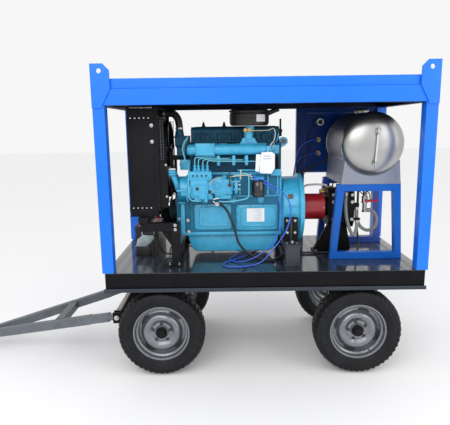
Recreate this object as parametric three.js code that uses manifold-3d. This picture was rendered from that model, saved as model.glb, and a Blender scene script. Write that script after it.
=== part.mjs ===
// Towable high-pressure washer: a diesel engine, a plunger pump and a water tank
// on a four-wheel trailer with a lifting frame. Millimetres, +X to the rear, +Z up.
import * as THREE from 'three';
import { mergeVertices } from 'three/addons/utils/BufferGeometryUtils.js';
import Module from 'manifold-3d';

const wasm = await Module();
wasm.setup();

// ---- driving dimensions -------------------------------------------------
const GAP = 0.3; // clearance between neighbouring sub-parts

const TYRE_R = 300; // 175/70-14 tyre on a 14 inch steel rim
const TYRE_W = 175;
const RIM_R = 196;
const WHEEL_Y = 427; // centre plane of a wheel
const FRONT_X = -706; // front axle
const REAR_X = 642; // rear axle
const AXLE_Z = TYRE_R;

const DECK_LOW = 618;
const DECK_TOP = 743;
const DECK_HALF_L = 1060;
const DECK_HALF_W = 518;
const PLATE_T = 5;

const POST = 75; // square section of a corner post
const POST_X = 1075; // outer faces of the posts
const POST_Y = 522;
const POST_TOP = 1830;
const ROOF_RIM_TOP = 1930;
const ROOF_TOP = 1992;
const LUG_TOP = 2080;
const LUG_T = 10;

const PIN_X = -1038; // drawbar hinge
const PIN_Y = 342;
const PIN_Z = 366;
const KINK_X = -1245; // the legs bend here, a little below the pins
const KINK_Z = 322;
const APEX_X = -2160; // where the drawbar legs meet
const APEX_Z = 100;
const EYE_X = -2252;
const EYE_R = 42;

const CRANK_Z = 1090;
const BELT_X = -650; // plane of the belt drive
const FAN_Z = 1470;
const FAN_R = 240;
const CRANK_PULLEY_R = 75;
const ALTERNATOR_Y = 250;
const ALTERNATOR_Z = 1230;

const TANK_X = 762;
const TANK_Z = 1561;
const TANK_R = 217;
const TANK_WALL = 4;
const SADDLE_LOW = 1283;

const HOSE_R = 11.5;

// The object's length runs from the tow eye to the rear posts.
const MIDDLE_X = (EYE_X - EYE_R + POST_X) / 2;

// ---- solids -------------------------------------------------------------
const AXES = {
  x: [new THREE.Vector3(0, 1, 0), new THREE.Vector3(0, 0, 1), new THREE.Vector3(1, 0, 0)],
  y: [new THREE.Vector3(1, 0, 0), new THREE.Vector3(0, 0, 1), new THREE.Vector3(0, -1, 0)],
  z: [new THREE.Vector3(1, 0, 0), new THREE.Vector3(0, 1, 0), new THREE.Vector3(0, 0, 1)],
};

// A closed three.js geometry becomes a manifold solid with its faces pointing out.
function solid(source) {
  const bare = source.clone();
  bare.deleteAttribute('normal');
  bare.deleteAttribute('uv');
  const merged = mergeVertices(bare, 1e-3);
  const position = merged.attributes.position;
  const corners = [];
  for (let i = 0; i < merged.index.count; i += 3) {
    const [a, b, c] = [0, 1, 2].map((k) => merged.index.getX(i + k));
    if (a !== b && b !== c && a !== c) corners.push(a, b, c);
  }
  let volume = 0;
  const [p, q, r] = [new THREE.Vector3(), new THREE.Vector3(), new THREE.Vector3()];
  for (let i = 0; i < corners.length; i += 3) {
    p.fromBufferAttribute(position, corners[i]);
    q.fromBufferAttribute(position, corners[i + 1]);
    r.fromBufferAttribute(position, corners[i + 2]);
    volume += p.dot(q.cross(r));
  }
  if (volume < 0) corners.reverse();
  return new wasm.Manifold(new wasm.Mesh({
    numProp: 3,
    vertProperties: new Float32Array(position.array),
    triVerts: new Uint32Array(corners),
  }));
}

function fuse(...solids) {
  return solids.flat().reduce((whole, next) => whole.add(next));
}

function cut(body, ...tools) {
  return tools.flat().reduce((whole, tool) => whole.subtract(tool), body);
}

function box(x0, x1, y0, y1, z0, z1) {
  const shape = new THREE.BoxGeometry(Math.abs(x1 - x0), Math.abs(y1 - y0), Math.abs(z1 - z0));
  shape.translate((x0 + x1) / 2, (y0 + y1) / 2, (z0 + z1) / 2);
  return solid(shape);
}

// An outline in the plane across `axis`, extruded from one coordinate to another.
// The outline is (y, z) across x, (x, z) across y and (x, y) across z.
function prism(axis, points, from, to) {
  const low = Math.min(from, to);
  const high = Math.max(from, to);
  const outline = new THREE.Shape(points.map(([a, b]) => new THREE.Vector2(a, b)));
  const shape = new THREE.ExtrudeGeometry(outline, { depth: high - low, bevelEnabled: false });
  shape.applyMatrix4(new THREE.Matrix4().makeBasis(...AXES[axis]));
  const start = axis === 'y' ? high : low;
  shape.translate(axis === 'x' ? start : 0, axis === 'y' ? start : 0, axis === 'z' ? start : 0);
  return solid(shape);
}

// A profile of (radius, height) points turned about an axis through `centre`.
function lathe(axis, profile, centre, segments = 24) {
  const points = profile.map(([radius, height]) => new THREE.Vector2(radius, height));
  const shape = new THREE.LatheGeometry(points, segments);
  if (axis === 'x') shape.rotateZ(-Math.PI / 2);
  if (axis === 'z') shape.rotateX(Math.PI / 2);
  shape.translate(...centre);
  return solid(shape);
}

// A round bar along an axis; `centre` gives the other two coordinates.
function rod(axis, radius, from, to, centre, segments = 16) {
  const profile = [[0, from], [radius, from], [radius, to], [0, to]];
  return lathe(axis, profile, onAxis(axis, centre), segments);
}

function ring(axis, inner, outer, from, to, centre, segments = 24) {
  const profile = [[inner, from], [outer, from], [outer, to], [inner, to], [inner, from]];
  return lathe(axis, profile, onAxis(axis, centre), segments);
}

function onAxis(axis, [a, b]) {
  return { x: [0, a, b], y: [a, 0, b], z: [a, b, 0] }[axis];
}

// A round tube through hand-placed points.
function hose(points, radius, sides = 8, stepLength = 4.5) {
  const curve = new THREE.CatmullRomCurve3(points.map((point) => new THREE.Vector3(...point)));
  const section = new THREE.Shape(Array.from({ length: sides }, (_, i) => {
    const angle = (i * 2 * Math.PI) / sides;
    return new THREE.Vector2(radius * Math.cos(angle), radius * Math.sin(angle));
  }));
  const steps = Math.min(80, Math.ceil(curve.getLength() / (stepLength * radius)));
  return solid(new THREE.ExtrudeGeometry(section, { steps, extrudePath: curve, bevelEnabled: false }));
}

// A straight rectangular bar between two points, `width` across and `height` up.
function bar(from, to, width, height) {
  const [start, end] = [new THREE.Vector3(...from), new THREE.Vector3(...to)];
  const along = end.clone().sub(start);
  const shape = new THREE.BoxGeometry(width, height, along.length());
  const forward = along.normalize();
  const side = new THREE.Vector3(0, 0, 1).cross(forward).normalize();
  const up = forward.clone().cross(side);
  shape.applyMatrix4(new THREE.Matrix4().makeBasis(side, up, forward));
  shape.translate(...start.add(end).multiplyScalar(0.5).toArray());
  return solid(shape);
}

// ---- materials ----------------------------------------------------------
function finish(color, roughness, metalness) {
  return new THREE.MeshStandardMaterial({ color, roughness, metalness });
}

const BLUE_PAINT = finish(0x2f86e8, 0.4, 0.1);
const NAVY_PAINT = finish(0x1d4fa0, 0.45, 0.1);
const BLACK_PAINT = finish(0x16181c, 0.35, 0.2);
const GREY_PAINT = finish(0x6c7280, 0.55, 0.2);
const ENGINE_PAINT = finish(0x3fa0bd, 0.4, 0.1);
const RED_PAINT = finish(0xa02030, 0.4, 0.1);
const STAINLESS = finish(0xc4c8cc, 0.25, 0.9);
const RIM_PAINT = finish(0xa9adb3, 0.4, 0.6);
const STEEL = finish(0x8a8e93, 0.35, 0.9);
const BRASS = finish(0xb08a45, 0.35, 0.9);
const RUBBER = finish(0x1b1b1d, 0.85, 0);
const BLACK_PLASTIC = finish(0x1c1d20, 0.5, 0);
const GREY_HOSE = finish(0x8d9196, 0.6, 0);
const BLUE_PLASTIC = finish(0x1f5fc0, 0.45, 0);
const RED_PLASTIC = finish(0xb0182a, 0.4, 0);

function part(parent, name, shape, material, place = [0, 0, 0], turn = [0, 0, 0]) {
  const { vertProperties, triVerts } = shape.getMesh();
  const geometry = new THREE.BufferGeometry();
  geometry.setAttribute('position', new THREE.BufferAttribute(vertProperties, 3));
  geometry.setIndex(new THREE.BufferAttribute(triVerts, 1));
  const faceted = geometry.toNonIndexed();
  faceted.computeVertexNormals();
  const mesh = new THREE.Mesh(faceted, material);
  mesh.name = name;
  mesh.position.set(...place);
  mesh.rotation.set(...turn);
  parent.add(mesh);
  return mesh;
}

// ---- trailer deck and lifting frame -------------------------------------
const CROSS_MEMBERS = [-875, -515, 0, 465, 825];

function deckFrame() {
  const rail = 60;
  const webTop = DECK_TOP - PLATE_T - GAP;
  const innerX = DECK_HALF_L - rail;
  const innerY = DECK_HALF_W - rail;
  const web = box(-DECK_HALF_L, DECK_HALF_L, -DECK_HALF_W, DECK_HALF_W, DECK_LOW, webTop);
  const flange = box(-DECK_HALF_L - 8, DECK_HALF_L + 8, -DECK_HALF_W - 10, DECK_HALF_W + 10,
    DECK_LOW, DECK_LOW + 9);
  const bay = box(-innerX, innerX, -innerY, innerY, DECK_LOW - 1, webTop + 1);
  const members = CROSS_MEMBERS.map((x) => box(x - 25, x + 25, -innerY - 5, innerY + 5, DECK_LOW, webTop));
  return fuse(cut(fuse(web, flange), bay), members);
}

function deckPlate() {
  return box(-DECK_HALF_L, DECK_HALF_L, -DECK_HALF_W, DECK_HALF_W, DECK_TOP - PLATE_T, DECK_TOP);
}

// A corner post with its lifting lug; sx and sy choose the corner.
function framePost(sx, sy) {
  const post = box(sx * (POST_X - POST), sx * POST_X, sy * (POST_Y - POST), sy * POST_Y,
    DECK_TOP + GAP, POST_TOP - GAP);
  const width = 118;
  const chamfer = 39;
  const outline = [
    [POST_X, POST_TOP - 15], [POST_X, LUG_TOP], [POST_X - width + chamfer, LUG_TOP],
    [POST_X - width, LUG_TOP - chamfer], [POST_X - width, ROOF_RIM_TOP],
    [POST_X - 65, POST_TOP], [POST_X - 65, POST_TOP - 15],
  ].map(([x, z]) => [sx * x, z]);
  const plate = prism('y', outline, sy * (POST_Y - 0.01), sy * (POST_Y + LUG_T));
  const hole = rod('y', 15, sy * (POST_Y - 5), sy * (POST_Y + LUG_T + 5),
    [sx * (POST_X - 54), LUG_TOP - 43], 20);
  return cut(fuse(post, plate), hole);
}

function roofRim() {
  const [x, y] = [POST_X - 1, POST_Y - GAP];
  const beam = 60;
  return cut(box(-x, x, -y, y, POST_TOP, ROOF_RIM_TOP),
    box(beam - x, x - beam, beam - y, y - beam, POST_TOP - 1, ROOF_RIM_TOP + 1));
}

function roofPanel() {
  const [x, y, sheet] = [POST_X - 5, POST_Y - 10, 4];
  return cut(box(-x, x, -y, y, ROOF_RIM_TOP + GAP, ROOF_TOP),
    box(sheet - x, x - sheet, sheet - y, y - sheet, ROOF_RIM_TOP, ROOF_TOP - sheet));
}

const PANEL_Y = 494; // outer face of the control panel
const CABLE_ENDS = [1574, 1462]; // heights of the two pull knobs

function controlPanel() {
  const post = box(337, 406, 448, 498, DECK_TOP + GAP, POST_TOP - GAP);
  const sheet = box(400, 999, PANEL_Y - 20, PANEL_Y, 1300, POST_TOP - GAP);
  const gaugeBack = rod('y', 42, 448, PANEL_Y - 10, [521, 1718]);
  const switchBox = box(690, 860, 434, PANEL_Y - 10, 1640, 1760);
  const bosses = CABLE_ENDS.map((z) => rod('y', 9, PANEL_Y - 32, PANEL_Y - 10, [524, z], 10));
  return fuse(post, sheet, gaugeBack, switchBox, bosses);
}

// ---- running gear -------------------------------------------------------
const HUB_BORE_R = 27;
const STUB_R = 25;
const HUB_INNER_Y = 340;
const STUB_END_Y = 470;
const BEAM_END_Y = 325;
const WHEEL_SIDES = 20;
const RING_LOW = 560;
const RING_TOP = 589.7;

function stubAxles(x) {
  return [-1, 1].map((side) => rod('y', STUB_R, side * (BEAM_END_Y - 5), side * STUB_END_Y, [x, AXLE_Z], 16));
}

function rearAxle() {
  const beam = box(REAR_X - 30, REAR_X + 30, -BEAM_END_Y, BEAM_END_Y, AXLE_Z - 30, AXLE_Z + 30);
  const hangers = [-1, 1].map((side) => prism('y', [
    [REAR_X - 30, AXLE_Z + 20], [REAR_X + 30, AXLE_Z + 20],
    [REAR_X + 130, DECK_LOW - GAP], [REAR_X - 130, DECK_LOW - GAP],
  ], side * 270, side * 300));
  return fuse(beam, hangers, stubAxles(REAR_X));
}

function frontAxle() {
  const beam = box(FRONT_X - 30, FRONT_X + 30, -BEAM_END_Y, BEAM_END_Y, AXLE_Z - 30, AXLE_Z + 30);
  return fuse(beam, stubAxles(FRONT_X));
}

function turntablePlate() {
  return fuse(
    rod('z', 230, RING_TOP + GAP, DECK_LOW - GAP, [FRONT_X, 0], 24),
    rod('z', 28, RING_LOW - 10, RING_TOP + 5, [FRONT_X, 0], 20),
  );
}

const PLATE_X = -1001; // rear face of the plate that carries the drawbar lugs
const LUG_INNER = [318, 327];
const LUG_OUTER = [357, 366];

function steerSubframe() {
  const turnRing = ring('z', 31, 220, RING_LOW, RING_TOP, [FRONT_X, 0], 24);
  const crossBeams = [-155, 125].map((dx) => (
    box(FRONT_X + dx - 30, FRONT_X + dx + 30, -325, 325, 500, RING_LOW + 1)));
  const hangers = [-1, 1].map((side) => prism('y', [
    [FRONT_X - 185, 520], [FRONT_X - 185, 500], [FRONT_X - 60, AXLE_Z + 30 + GAP],
    [FRONT_X + 60, AXLE_Z + 30 + GAP], [FRONT_X + 155, 500], [FRONT_X + 155, 520],
  ], side * 215, side * 245));
  const struts = [-1, 1].map((side) => prism('y', [
    [PIN_X - 14, 400], [-950, RING_LOW + 1], [FRONT_X - 125, RING_LOW + 1],
    [FRONT_X - 125, 505], [-985, 400],
  ], side * 295, side * 325));
  const frontPlate = box(PLATE_X - 12, PLATE_X, -366, 366, PIN_Z - 44, PIN_Z + 43);
  const lugs = [-1, 1].flatMap((side) => [LUG_INNER, LUG_OUTER].map(([near, far]) => (
    box(PIN_X - 25, PLATE_X - 1, side * near, side * far, PIN_Z - 40, PIN_Z + 40))));
  const pins = [-1, 1].map((side) => rod('y', 10, side * (LUG_INNER[0] - 8), side * (LUG_OUTER[1] + 10),
    [PIN_X, PIN_Z], 12));
  return fuse(turnRing, crossBeams, hangers, struts, frontPlate, lugs, pins);
}

// The drawbar hangs from two eyes that turn on the subframe's pins.
function legY(x) {
  return (PIN_Y * (x - APEX_X)) / (PIN_X - APEX_X);
}

const LEG_SLOPE = (KINK_Z - APEX_Z) / (KINK_X - APEX_X);

function drawbar() {
  const [legW, legH] = [48, 62];
  const legs = [-1, 1].map((side) => {
    const eye = rod('y', 22, side * 328, side * 356, [PIN_X, PIN_Z], 16);
    const neck = box(PIN_X - 75, PIN_X, side * 329, side * 355, PIN_Z - 22, PIN_Z + 20);
    const hole = rod('y', 12, side * 320, side * 364, [PIN_X, PIN_Z], 16);
    const kink = [KINK_X, side * legY(KINK_X), KINK_Z];
    const upper = bar([PIN_X - 55, side * (PIN_Y - 9), PIN_Z - 5], kink, legW, legH - 6);
    const lower = bar([KINK_X + 5, side * legY(KINK_X + 5), KINK_Z + 1],
      [APEX_X, side * 20, APEX_Z], legW, legH);
    return cut(fuse(eye, neck, upper, lower), hole);
  });
  const braceX = -1516;
  const braceZ = APEX_Z + LEG_SLOPE * (braceX - APEX_X);
  const brace = bar([braceX, -legY(braceX), braceZ], [braceX, legY(braceX), braceZ], 54, 58);
  const nose = bar([APEX_X + 60, 0, APEX_Z + 10], [APEX_X - 24, 0, APEX_Z - 8], 80, 44);
  return fuse(legs, brace, nose);
}

// The eye is made flat about its own middle and then tipped to the drawbar's slope.
function towEye() {
  const plate = ring('z', 24, EYE_R, -13, 13, [0, 0], 24);
  const shank = box(34, 66, -20, 20, -13, 13);
  return fuse(plate, shank);
}

function tyre() {
  const half = TYRE_W / 2;
  const profile = [
    [179, -60], [198, -60], [228, -half + 2], [262, -half], [292, -66], [TYRE_R, 0],
    [292, 66], [262, half], [228, half - 2], [198, 60], [179, 60],
    [179, 44], [228, 74], [281, 54], [281, -54], [228, -74], [179, -44], [179, -60],
  ];
  return lathe('y', profile, [0, 0, 0], WHEEL_SIDES);
}

// Rim, wheel disc, hub and its blind bore as one turned profile, outer face to -Y.
// A far-side wheel is turned about Z.
function wheelRim() {
  const hubEnd = WHEEL_Y - HUB_INNER_Y;
  const boreEnd = WHEEL_Y - STUB_END_Y - 6;
  const face = [[0, -84], [28, -80], [34, -60], [46, -60], [46, -34], [104, -48], [152, -14]];
  const flanges = [
    [170, -66], [RIM_R, -66], [179, -60], [160, -20], [160, 20], [179, 60], [RIM_R, 66], [170, 66],
  ];
  const back = [[152, 22], [152, -4], [104, -38], [46, -24], [46, hubEnd]];
  const bore = [[HUB_BORE_R, hubEnd], [HUB_BORE_R, boreEnd], [0, boreEnd]];
  return lathe('y', [...face, ...flanges, ...back, ...bore], [0, 0, 0], WHEEL_SIDES);
}

// ---- engine -------------------------------------------------------------
const BLOCK = { x0: -510, x1: 145, halfW: 165, low: 922, top: 1356 };
const HEAD = { halfW: 130, top: 1577 };

function engineBlock() {
  const block = box(BLOCK.x0, BLOCK.x1, -BLOCK.halfW, BLOCK.halfW, BLOCK.low, BLOCK.top);
  const coverOne = box(-486, -209, -172, -160, 962, 1139);
  const coverTwo = box(-173, 129, -172, -160, 958, 1127);
  const timingCase = box(-584, -505, -150, 150, BLOCK.low, 1213);
  const frontPlate = box(-610, -583, -150, 150, 844, 1213);
  const gearCover = rod('x', 85, -583, -510, [-215, 1260], 24);
  const gearFill = box(-583, -505, -215, -100, 1200, 1340);
  const pumpFlange = box(-511, -499, -300, -240, 1215, 1305);
  const pumpShelf = box(-480, -200, -234, -160, 1190, 1240);
  const filterHead = box(-66, 14, -214, -160, 1240, 1305);
  const filler = bar([-575, -215, 1290], [-620, -285, 1385], 40, 40);
  const fillerCap = rod('z', 30, 1380, 1405, [-620, -285], 12);
  return fuse(block, coverOne, coverTwo, timingCase, frontPlate, gearCover, gearFill,
    pumpFlange, pumpShelf, filterHead, filler, fillerCap);
}

function oilPan() {
  const top = BLOCK.low - GAP;
  return fuse(
    prism('y', [[-534, top], [-534, 905], [-492, 785], [82, 785], [133, 905], [133, top]], -140, 140),
    rod('z', 16, 772, 790, [-420, -60], 8),
  );
}

function cylinderHead() {
  const low = BLOCK.top + GAP;
  const head = box(-512, 146, -HEAD.halfW, HEAD.halfW, low, HEAD.top - GAP);
  const waterPump = rod('x', 62, -584, -505, [0, FAN_Z], 20);
  const thermostat = box(-604, -505, -116, -44, 1543, 1630);
  const outlet = rod('z', 27, 1625, 1672, [-580, -80], 16);
  const cowl = box(-584, -505, -100, 60, 1500, 1576);
  return fuse(head, waterPump, cowl, thermostat, outlet);
}

function valveCover() {
  const cover = prism('x', [
    [-95, HEAD.top], [95, HEAD.top], [95, 1668], [73, 1690], [-73, 1690], [-95, 1668],
  ], -500, 138);
  const studs = [-410, -259].map((x) => rod('z', 12, 1685, 1726, [x, 0], 10));
  return fuse(cover, studs);
}

function flywheelHousing() {
  return lathe('x', [
    [0, 145.3], [205, 145.3], [228, 165], [233, 272], [252, 285], [252, 305], [0, 305],
  ], [0, 0, CRANK_Z], 24);
}

function intakeManifold() {
  const log = rod('x', 38, -522, 29, [-222, 1535], 16);
  const runners = [-430, -280, -130, 0].map((x) => box(x - 26, x + 26, -222, -130.3, 1512, 1558));
  const plate = box(-453, -329, -272, -240, 1498, 1580);
  const riser = rod('z', 36, 1535, 1693.7, [-72, -180], 16);
  return fuse(log, runners, plate, riser);
}

function exhaustSilencer() {
  const log = box(-480, 120, 175, 235, 1440, 1520);
  const runners = [-430, -280, -130, 20].map((x) => box(x - 26, x + 26, 130.3, 180, 1455, 1505));
  const downpipe = box(60, 120, 230, 330, 1450, 1510);
  const silencer = rod('x', 62, -330, 150, [360, 1500], 20);
  const tail = rod('y', 24, 400, 500, [-270, 1500], 12);
  return fuse(log, runners, downpipe, silencer, tail);
}

function injectionPump() {
  const body = box(-498, -344, -322, -235, 1200, 1330);
  const valves = Array.from({ length: 4 }, (_, i) => rod('z', 14, 1325, 1399, [-470 + 32 * i, -285], 10));
  const governor = box(-345, -190, -312, -235, 1206, 1365);
  const cover = rod('x', 62, -191, -167, [-270, 1285], 20);
  return fuse(body, valves, governor, cover);
}

function oilFilter() {
  return lathe('z', [[0, 1204], [34, 1204], [46, 1216], [46, 1296], [40, 1304], [40, 1320], [0, 1320]],
    [-26, -261, 0], 20);
}

function airFilter() {
  const drum = lathe('z', [
    [0, 1694], [132, 1694], [140, 1706], [140, 1728], [145, 1734], [145, 1792], [138, 1808],
    [30, 1812], [30, 1822], [0, 1822],
  ], [-80, -110, 0], 24);
  const snout = bar([40, -110, 1762], [112, -110, 1792], 62, 44);
  return fuse(drum, snout);
}

function alternator() {
  const shell = rod('x', 66, -600, -440, [ALTERNATOR_Y, ALTERNATOR_Z], 20);
  const arm = box(-560, -520, 150.3, 200, 1175, 1205);
  return fuse(shell, arm);
}

function radiator() {
  const core = box(-895, -730, -322, 322, 1156, 1756);
  const topTank = box(-905, -720, -330, 330, 1750, 1825);
  const bottomTank = box(-905, -720, -330, 330, 1088, 1160);
  const sides = [-1, 1].map((side) => box(-905, -700, side * 318, side * 330, 1130, 1800));
  const neck = rod('z', 26, 1824, 1829.5, [-815, -150], 14);
  const inlet = rod('x', 27, -725, -700, [-60, 1790], 14);
  return fuse(core, topTank, bottomTank, sides, neck, inlet);
}

function fanGuard() {
  const shroud = ring('x', 262, 282, -699, -655, [0, FAN_Z], 24);
  const stays = [-1, 1].map((side) => box(-699, -685, side * 262, side * 317.7, FAN_Z - 20, FAN_Z + 20));
  return fuse(shroud, stays);
}

function fan() {
  const hub = rod('x', 48, -690, -668, [0, FAN_Z], 16);
  const pulley = rod('x', 70, BELT_X - 13, BELT_X + 13, [0, FAN_Z], 20);
  const shaft = rod('x', 18, -670, -584.5, [0, FAN_Z], 12);
  const blades = Array.from({ length: 6 }, (_, i) => {
    const blade = new THREE.BoxGeometry(4, 70, FAN_R - 35);
    blade.rotateZ(0.5);
    blade.translate(0, 0, (FAN_R + 35) / 2);
    blade.rotateX((i * Math.PI) / 3);
    blade.translate(-678, 0, FAN_Z);
    return solid(blade);
  });
  return fuse(hub, pulley, shaft, blades);
}

function frontEngineMount() {
  const sides = [-1, 1].flatMap((side) => [
    box(-630, -570, side * 330, side * 376, DECK_TOP + GAP, 1048),
    box(-658, -560, side * 318, side * 390, DECK_TOP + GAP, 755),
    box(-840, -625, side * 334, side * 372, 990, 1048),
  ]);
  const radiatorShelf = box(-850, -785, -376, 376, 1040, 1087.7);
  const engineBeam = box(-628, -585, -335, 335, 785, 843.7);
  return fuse(sides, radiatorShelf, engineBeam);
}

function rearEngineMount() {
  const sides = [-1, 1].flatMap((side) => [
    box(154, 250, side * 300, side * 394, DECK_TOP + GAP, 888),
    box(156, 251, side * 253, side * 305, 868, 888),
    box(156, 251, side * 253, side * 266, 880, 1058),
  ]);
  return fuse(sides, box(185, 235, -305, 305, 765, 820));
}

function pulley(radius, half) {
  const rimEdge = radius - 9;
  return lathe('x', [
    [0, -half], [radius, -half], [radius, -half + 4], [rimEdge, 0], [radius, half - 4],
    [radius, half], [0, half],
  ], [0, 0, 0], 24);
}

function crankPulley() {
  return fuse(pulley(CRANK_PULLEY_R, 20), rod('x', 24, 0, -610.5 - BELT_X, [0, 0], 16));
}

function alternatorPulley() {
  return fuse(pulley(35, 13), rod('x', 9, 0, -600.5 - BELT_X, [0, 0], 12));
}

function driveCoupling() {
  return lathe('x', [
    [0, 305.5], [28, 305.5], [28, 340], [70, 340], [70, 378], [66, 380], [66, 396], [70, 398],
    [70, 436], [28, 436], [28, 499.5], [0, 499.5],
  ], [0, 0, CRANK_Z], 16);
}

// ---- pump and water side ------------------------------------------------
function couplingGuard() {
  return ring('x', 93, 97, 305.3, 478, [0, CRANK_Z], 28);
}

function pumpCrankcase() {
  const body = prism('x', [
    [-85, 960], [55, 960], [70, 985], [70, 1200], [50, 1225], [-75, 1225], [-105, 1195], [-105, 990],
  ], 500, 690);
  const stand = prism('y', [[408, DECK_TOP + GAP], [700, DECK_TOP + GAP], [660, 965], [530, 965]], 5, 35);
  const foot = box(408, 700, -60, 60, DECK_TOP + GAP, DECK_TOP + 12);
  const suctionPort = box(685, 727, -95, -65, 1094.5, 1125);
  const returnPort = rod('z', 13, 1212.5, 1240, [622, -118], 12);
  const returnArm = box(612, 632, -118, -70, 1218, 1232);
  const drain = box(685, 727, -133, -104, 1004.5, 1020);
  return fuse(body, stand, foot, suctionPort, returnPort, returnArm, drain);
}

function pumpHead() {
  const block = box(515, 675, 70.3, 190, 1010, 1170);
  const plungers = [540, 595, 650].map((x) => rod('y', 24, 185, 235, [x, 1090], 14));
  const outlets = [535, 575].map((x) => rod('z', 15, 1165, 1228, [x, 130], 12));
  return fuse(block, plungers, outlets);
}

// The tank's outlet pipe runs down through the saddle to a ball valve.
const OUTLET = [783, -40];
const OUTLET_R = 17;
const OUTLET_LOW = 1050;
const FEED = [775, 120]; // fuel feed stub
const FEED_R = 11;

function tankProfile(radius, near, far, nearTip, farTip, steps) {
  const dome = (tip, seam, reverse) => {
    const points = Array.from({ length: steps }, (_, i) => {
      const angle = ((i + 1) / (steps + 1)) * (Math.PI / 2);
      return [radius * Math.sin(angle), seam + (tip - seam) * Math.cos(angle)];
    });
    return reverse ? points.reverse() : points;
  };
  return [[0, nearTip], ...dome(nearTip, near, false), [radius, near], [radius, far],
    ...dome(farTip, far, true), [0, farTip]];
}

function tankShell() {
  const centre = [TANK_X, 0, TANK_Z];
  const outer = lathe('y', tankProfile(TANK_R, -230, 250, -325, 330, 2), centre, 24);
  const inner = lathe('y', tankProfile(TANK_R - TANK_WALL, -230, 250, -321, 326, 2), centre, 24);
  const collar = rod('z', 52, TANK_Z + TANK_R - 12, TANK_Z + TANK_R + 14, [TANK_X, 60], 16);
  const neck = rod('z', 44, TANK_Z + TANK_R - 40, TANK_Z + TANK_R + 20, [TANK_X, 60], 16);
  const fittings = [88, -150].map((dz) => rod('y', 13, -345, -262, [TANK_X, TANK_Z + dz * 0.9], 12));
  const shell = cut(fuse(outer, collar, fittings), inner, neck);
  const pipe = rod('z', OUTLET_R, OUTLET_LOW, TANK_Z - TANK_R + 8, OUTLET, 12);
  const valveBody = rod('z', 24, 1120, 1165, OUTLET, 12);
  const elbow = rod('x', 13, OUTLET[0], OUTLET[0] + 23, [OUTLET[1], 1063], 12);
  const feed = rod('z', FEED_R, 1258.5, TANK_Z - TANK_R + 20, FEED, 12);
  return fuse(shell, pipe, valveBody, elbow, feed);
}

function fuelCap() {
  const z = TANK_Z + TANK_R + 14 + GAP;
  return fuse(
    lathe('z', [[0, z], [54, z], [54, z + 12], [46, z + 18], [0, z + 18]], [TANK_X, 60, 0], 24),
    box(TANK_X - 10, TANK_X + 10, 104, 122, z, z + 12),
  );
}

function tankSaddle() {
  const [near, far] = [-242, 288];
  const block = prism('y', [
    [555, SADDLE_LOW], [969, SADDLE_LOW], [955, 1450], [575, 1450],
  ], near, far);
  const cradle = rod('y', TANK_R + 0.5, near - 5, far + 5, [TANK_X, TANK_Z], 24);
  const hollow = box(567, 957, near + 5, far - 5, SADDLE_LOW - 1, 1336);
  const pipeHoles = [
    rod('z', OUTLET_R + 2, SADDLE_LOW, TANK_Z, OUTLET, 12),
    rod('z', FEED_R + 2, SADDLE_LOW, TANK_Z, FEED, 12),
  ];
  return cut(block, cradle, hollow, pipeHoles);
}

// A side stand: a trapezoid frame of square tube under the saddle.
function standFrame(near, far) {
  const bottom = DECK_TOP + GAP;
  const top = SADDLE_LOW - GAP;
  const tubeW = 50;
  const outline = [[486, bottom], [1000, bottom], [971, top], [529, top]];
  const lower = [
    [486 + tubeW + 2, bottom + tubeW], [1000 - tubeW - 2, bottom + tubeW],
    [971 - tubeW, top - tubeW], [529 + tubeW, top - tubeW],
  ];
  return cut(prism('y', outline, near, far), prism('y', lower, near - 5, far + 5));
}

const SUCTION_ROUTE = [
  [806.5, -40, 1063], [830, -40, 1063], [858, -58, 1034], [866, -76, 990], [848, -80, 937],
  [796, -80, 918], [743, -80, 950], [714, -80, 1018], [711, -80, 1056], [711, -80, 1094],
];
const RETURN_ROUTE = [
  [622, -118, 1212], [622, -118, 1175], [620, -120, 1116], [630, -122, 1020], [655, -122, 937],
  [683, -122, 891], [704, -120, 936], [707, -118, 975], [707, -118, 1004],
];
const FUEL_ROUTE = [
  [-327, -268, 1159], [-301, -262, 1163], [-243, -245, 1105], [-195, -240, 981], [-164, -240, 872],
  [-99, -245, 796], [-17, -260, 760], [63, -277, 753], [120, -235, 753], [175, -150, 753],
  [300, -95, 753], [420, -90, 753], [550, -92, 753], [680, -88, 753], [738, -50, 760],
  [768, 40, 800], [775, 110, 880], [775, 120, 1000], [775, 120, 1150], [775, 120, 1258],
];
const CABLE_ROUTE = [
  [-91, -300, 1358], [-3, -300, 1331], [73, -300, 1285], [138, -300, 1243], [187, -300, 1166],
  [195, -300, 1081], [172, -302, 986], [124, -308, 904], [61, -325, 829], [0, -350, 770],
  [-70, -385, 750], [-168, -420, 750], [-260, -400, 750], [-270, -330, 750], [-200, -250, 750],
  [-100, -120, 750], [-20, 40, 750], [80, 180, 750], [250, 240, 750], [290, 330, 750],
  [305, 400, 751], [314, 432, 775], [318, 440, 830], [320, 440, 1000], [322, 438, 1300],
  [360, 430, 1500], [440, 425, 1565], [490, 428, 1574], [524, 445, 1574], [524, 461.5, 1574],
];

function radiatorHose() {
  return hose([
    [-699, -60, 1790], [-665, -60, 1790], [-620, -70, 1785], [-590, -77, 1750], [-580, -80, 1700],
    [-580, -80, 1672.4],
  ], 25, 10, 1);
}

function valveHandle() {
  return fuse(
    rod('y', 9, -84, -64.5, [783, 1140], 10),
    box(774, 866, -92, -82, 1132, 1150),
  );
}

function battery() {
  const shell = box(-935, -760, -70, 335, DECK_TOP + GAP, 960);
  const lid = box(-938, -757, -73, 338, 935, 962);
  const posts = [-20, 285].map((y) => rod('z', 14, 955, 980, [-900, y], 12));
  const clamp = box(-870, -800, -84, -68, 760, 990);
  return fuse(shell, lid, posts, clamp);
}

// ---- controls -----------------------------------------------------------
function throttleLever() {
  return fuse(
    rod('y', 9, -350, -312.5, [0, 0], 10),
    box(-7, 7, -350, -342, -6, 92),
  );
}

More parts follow.
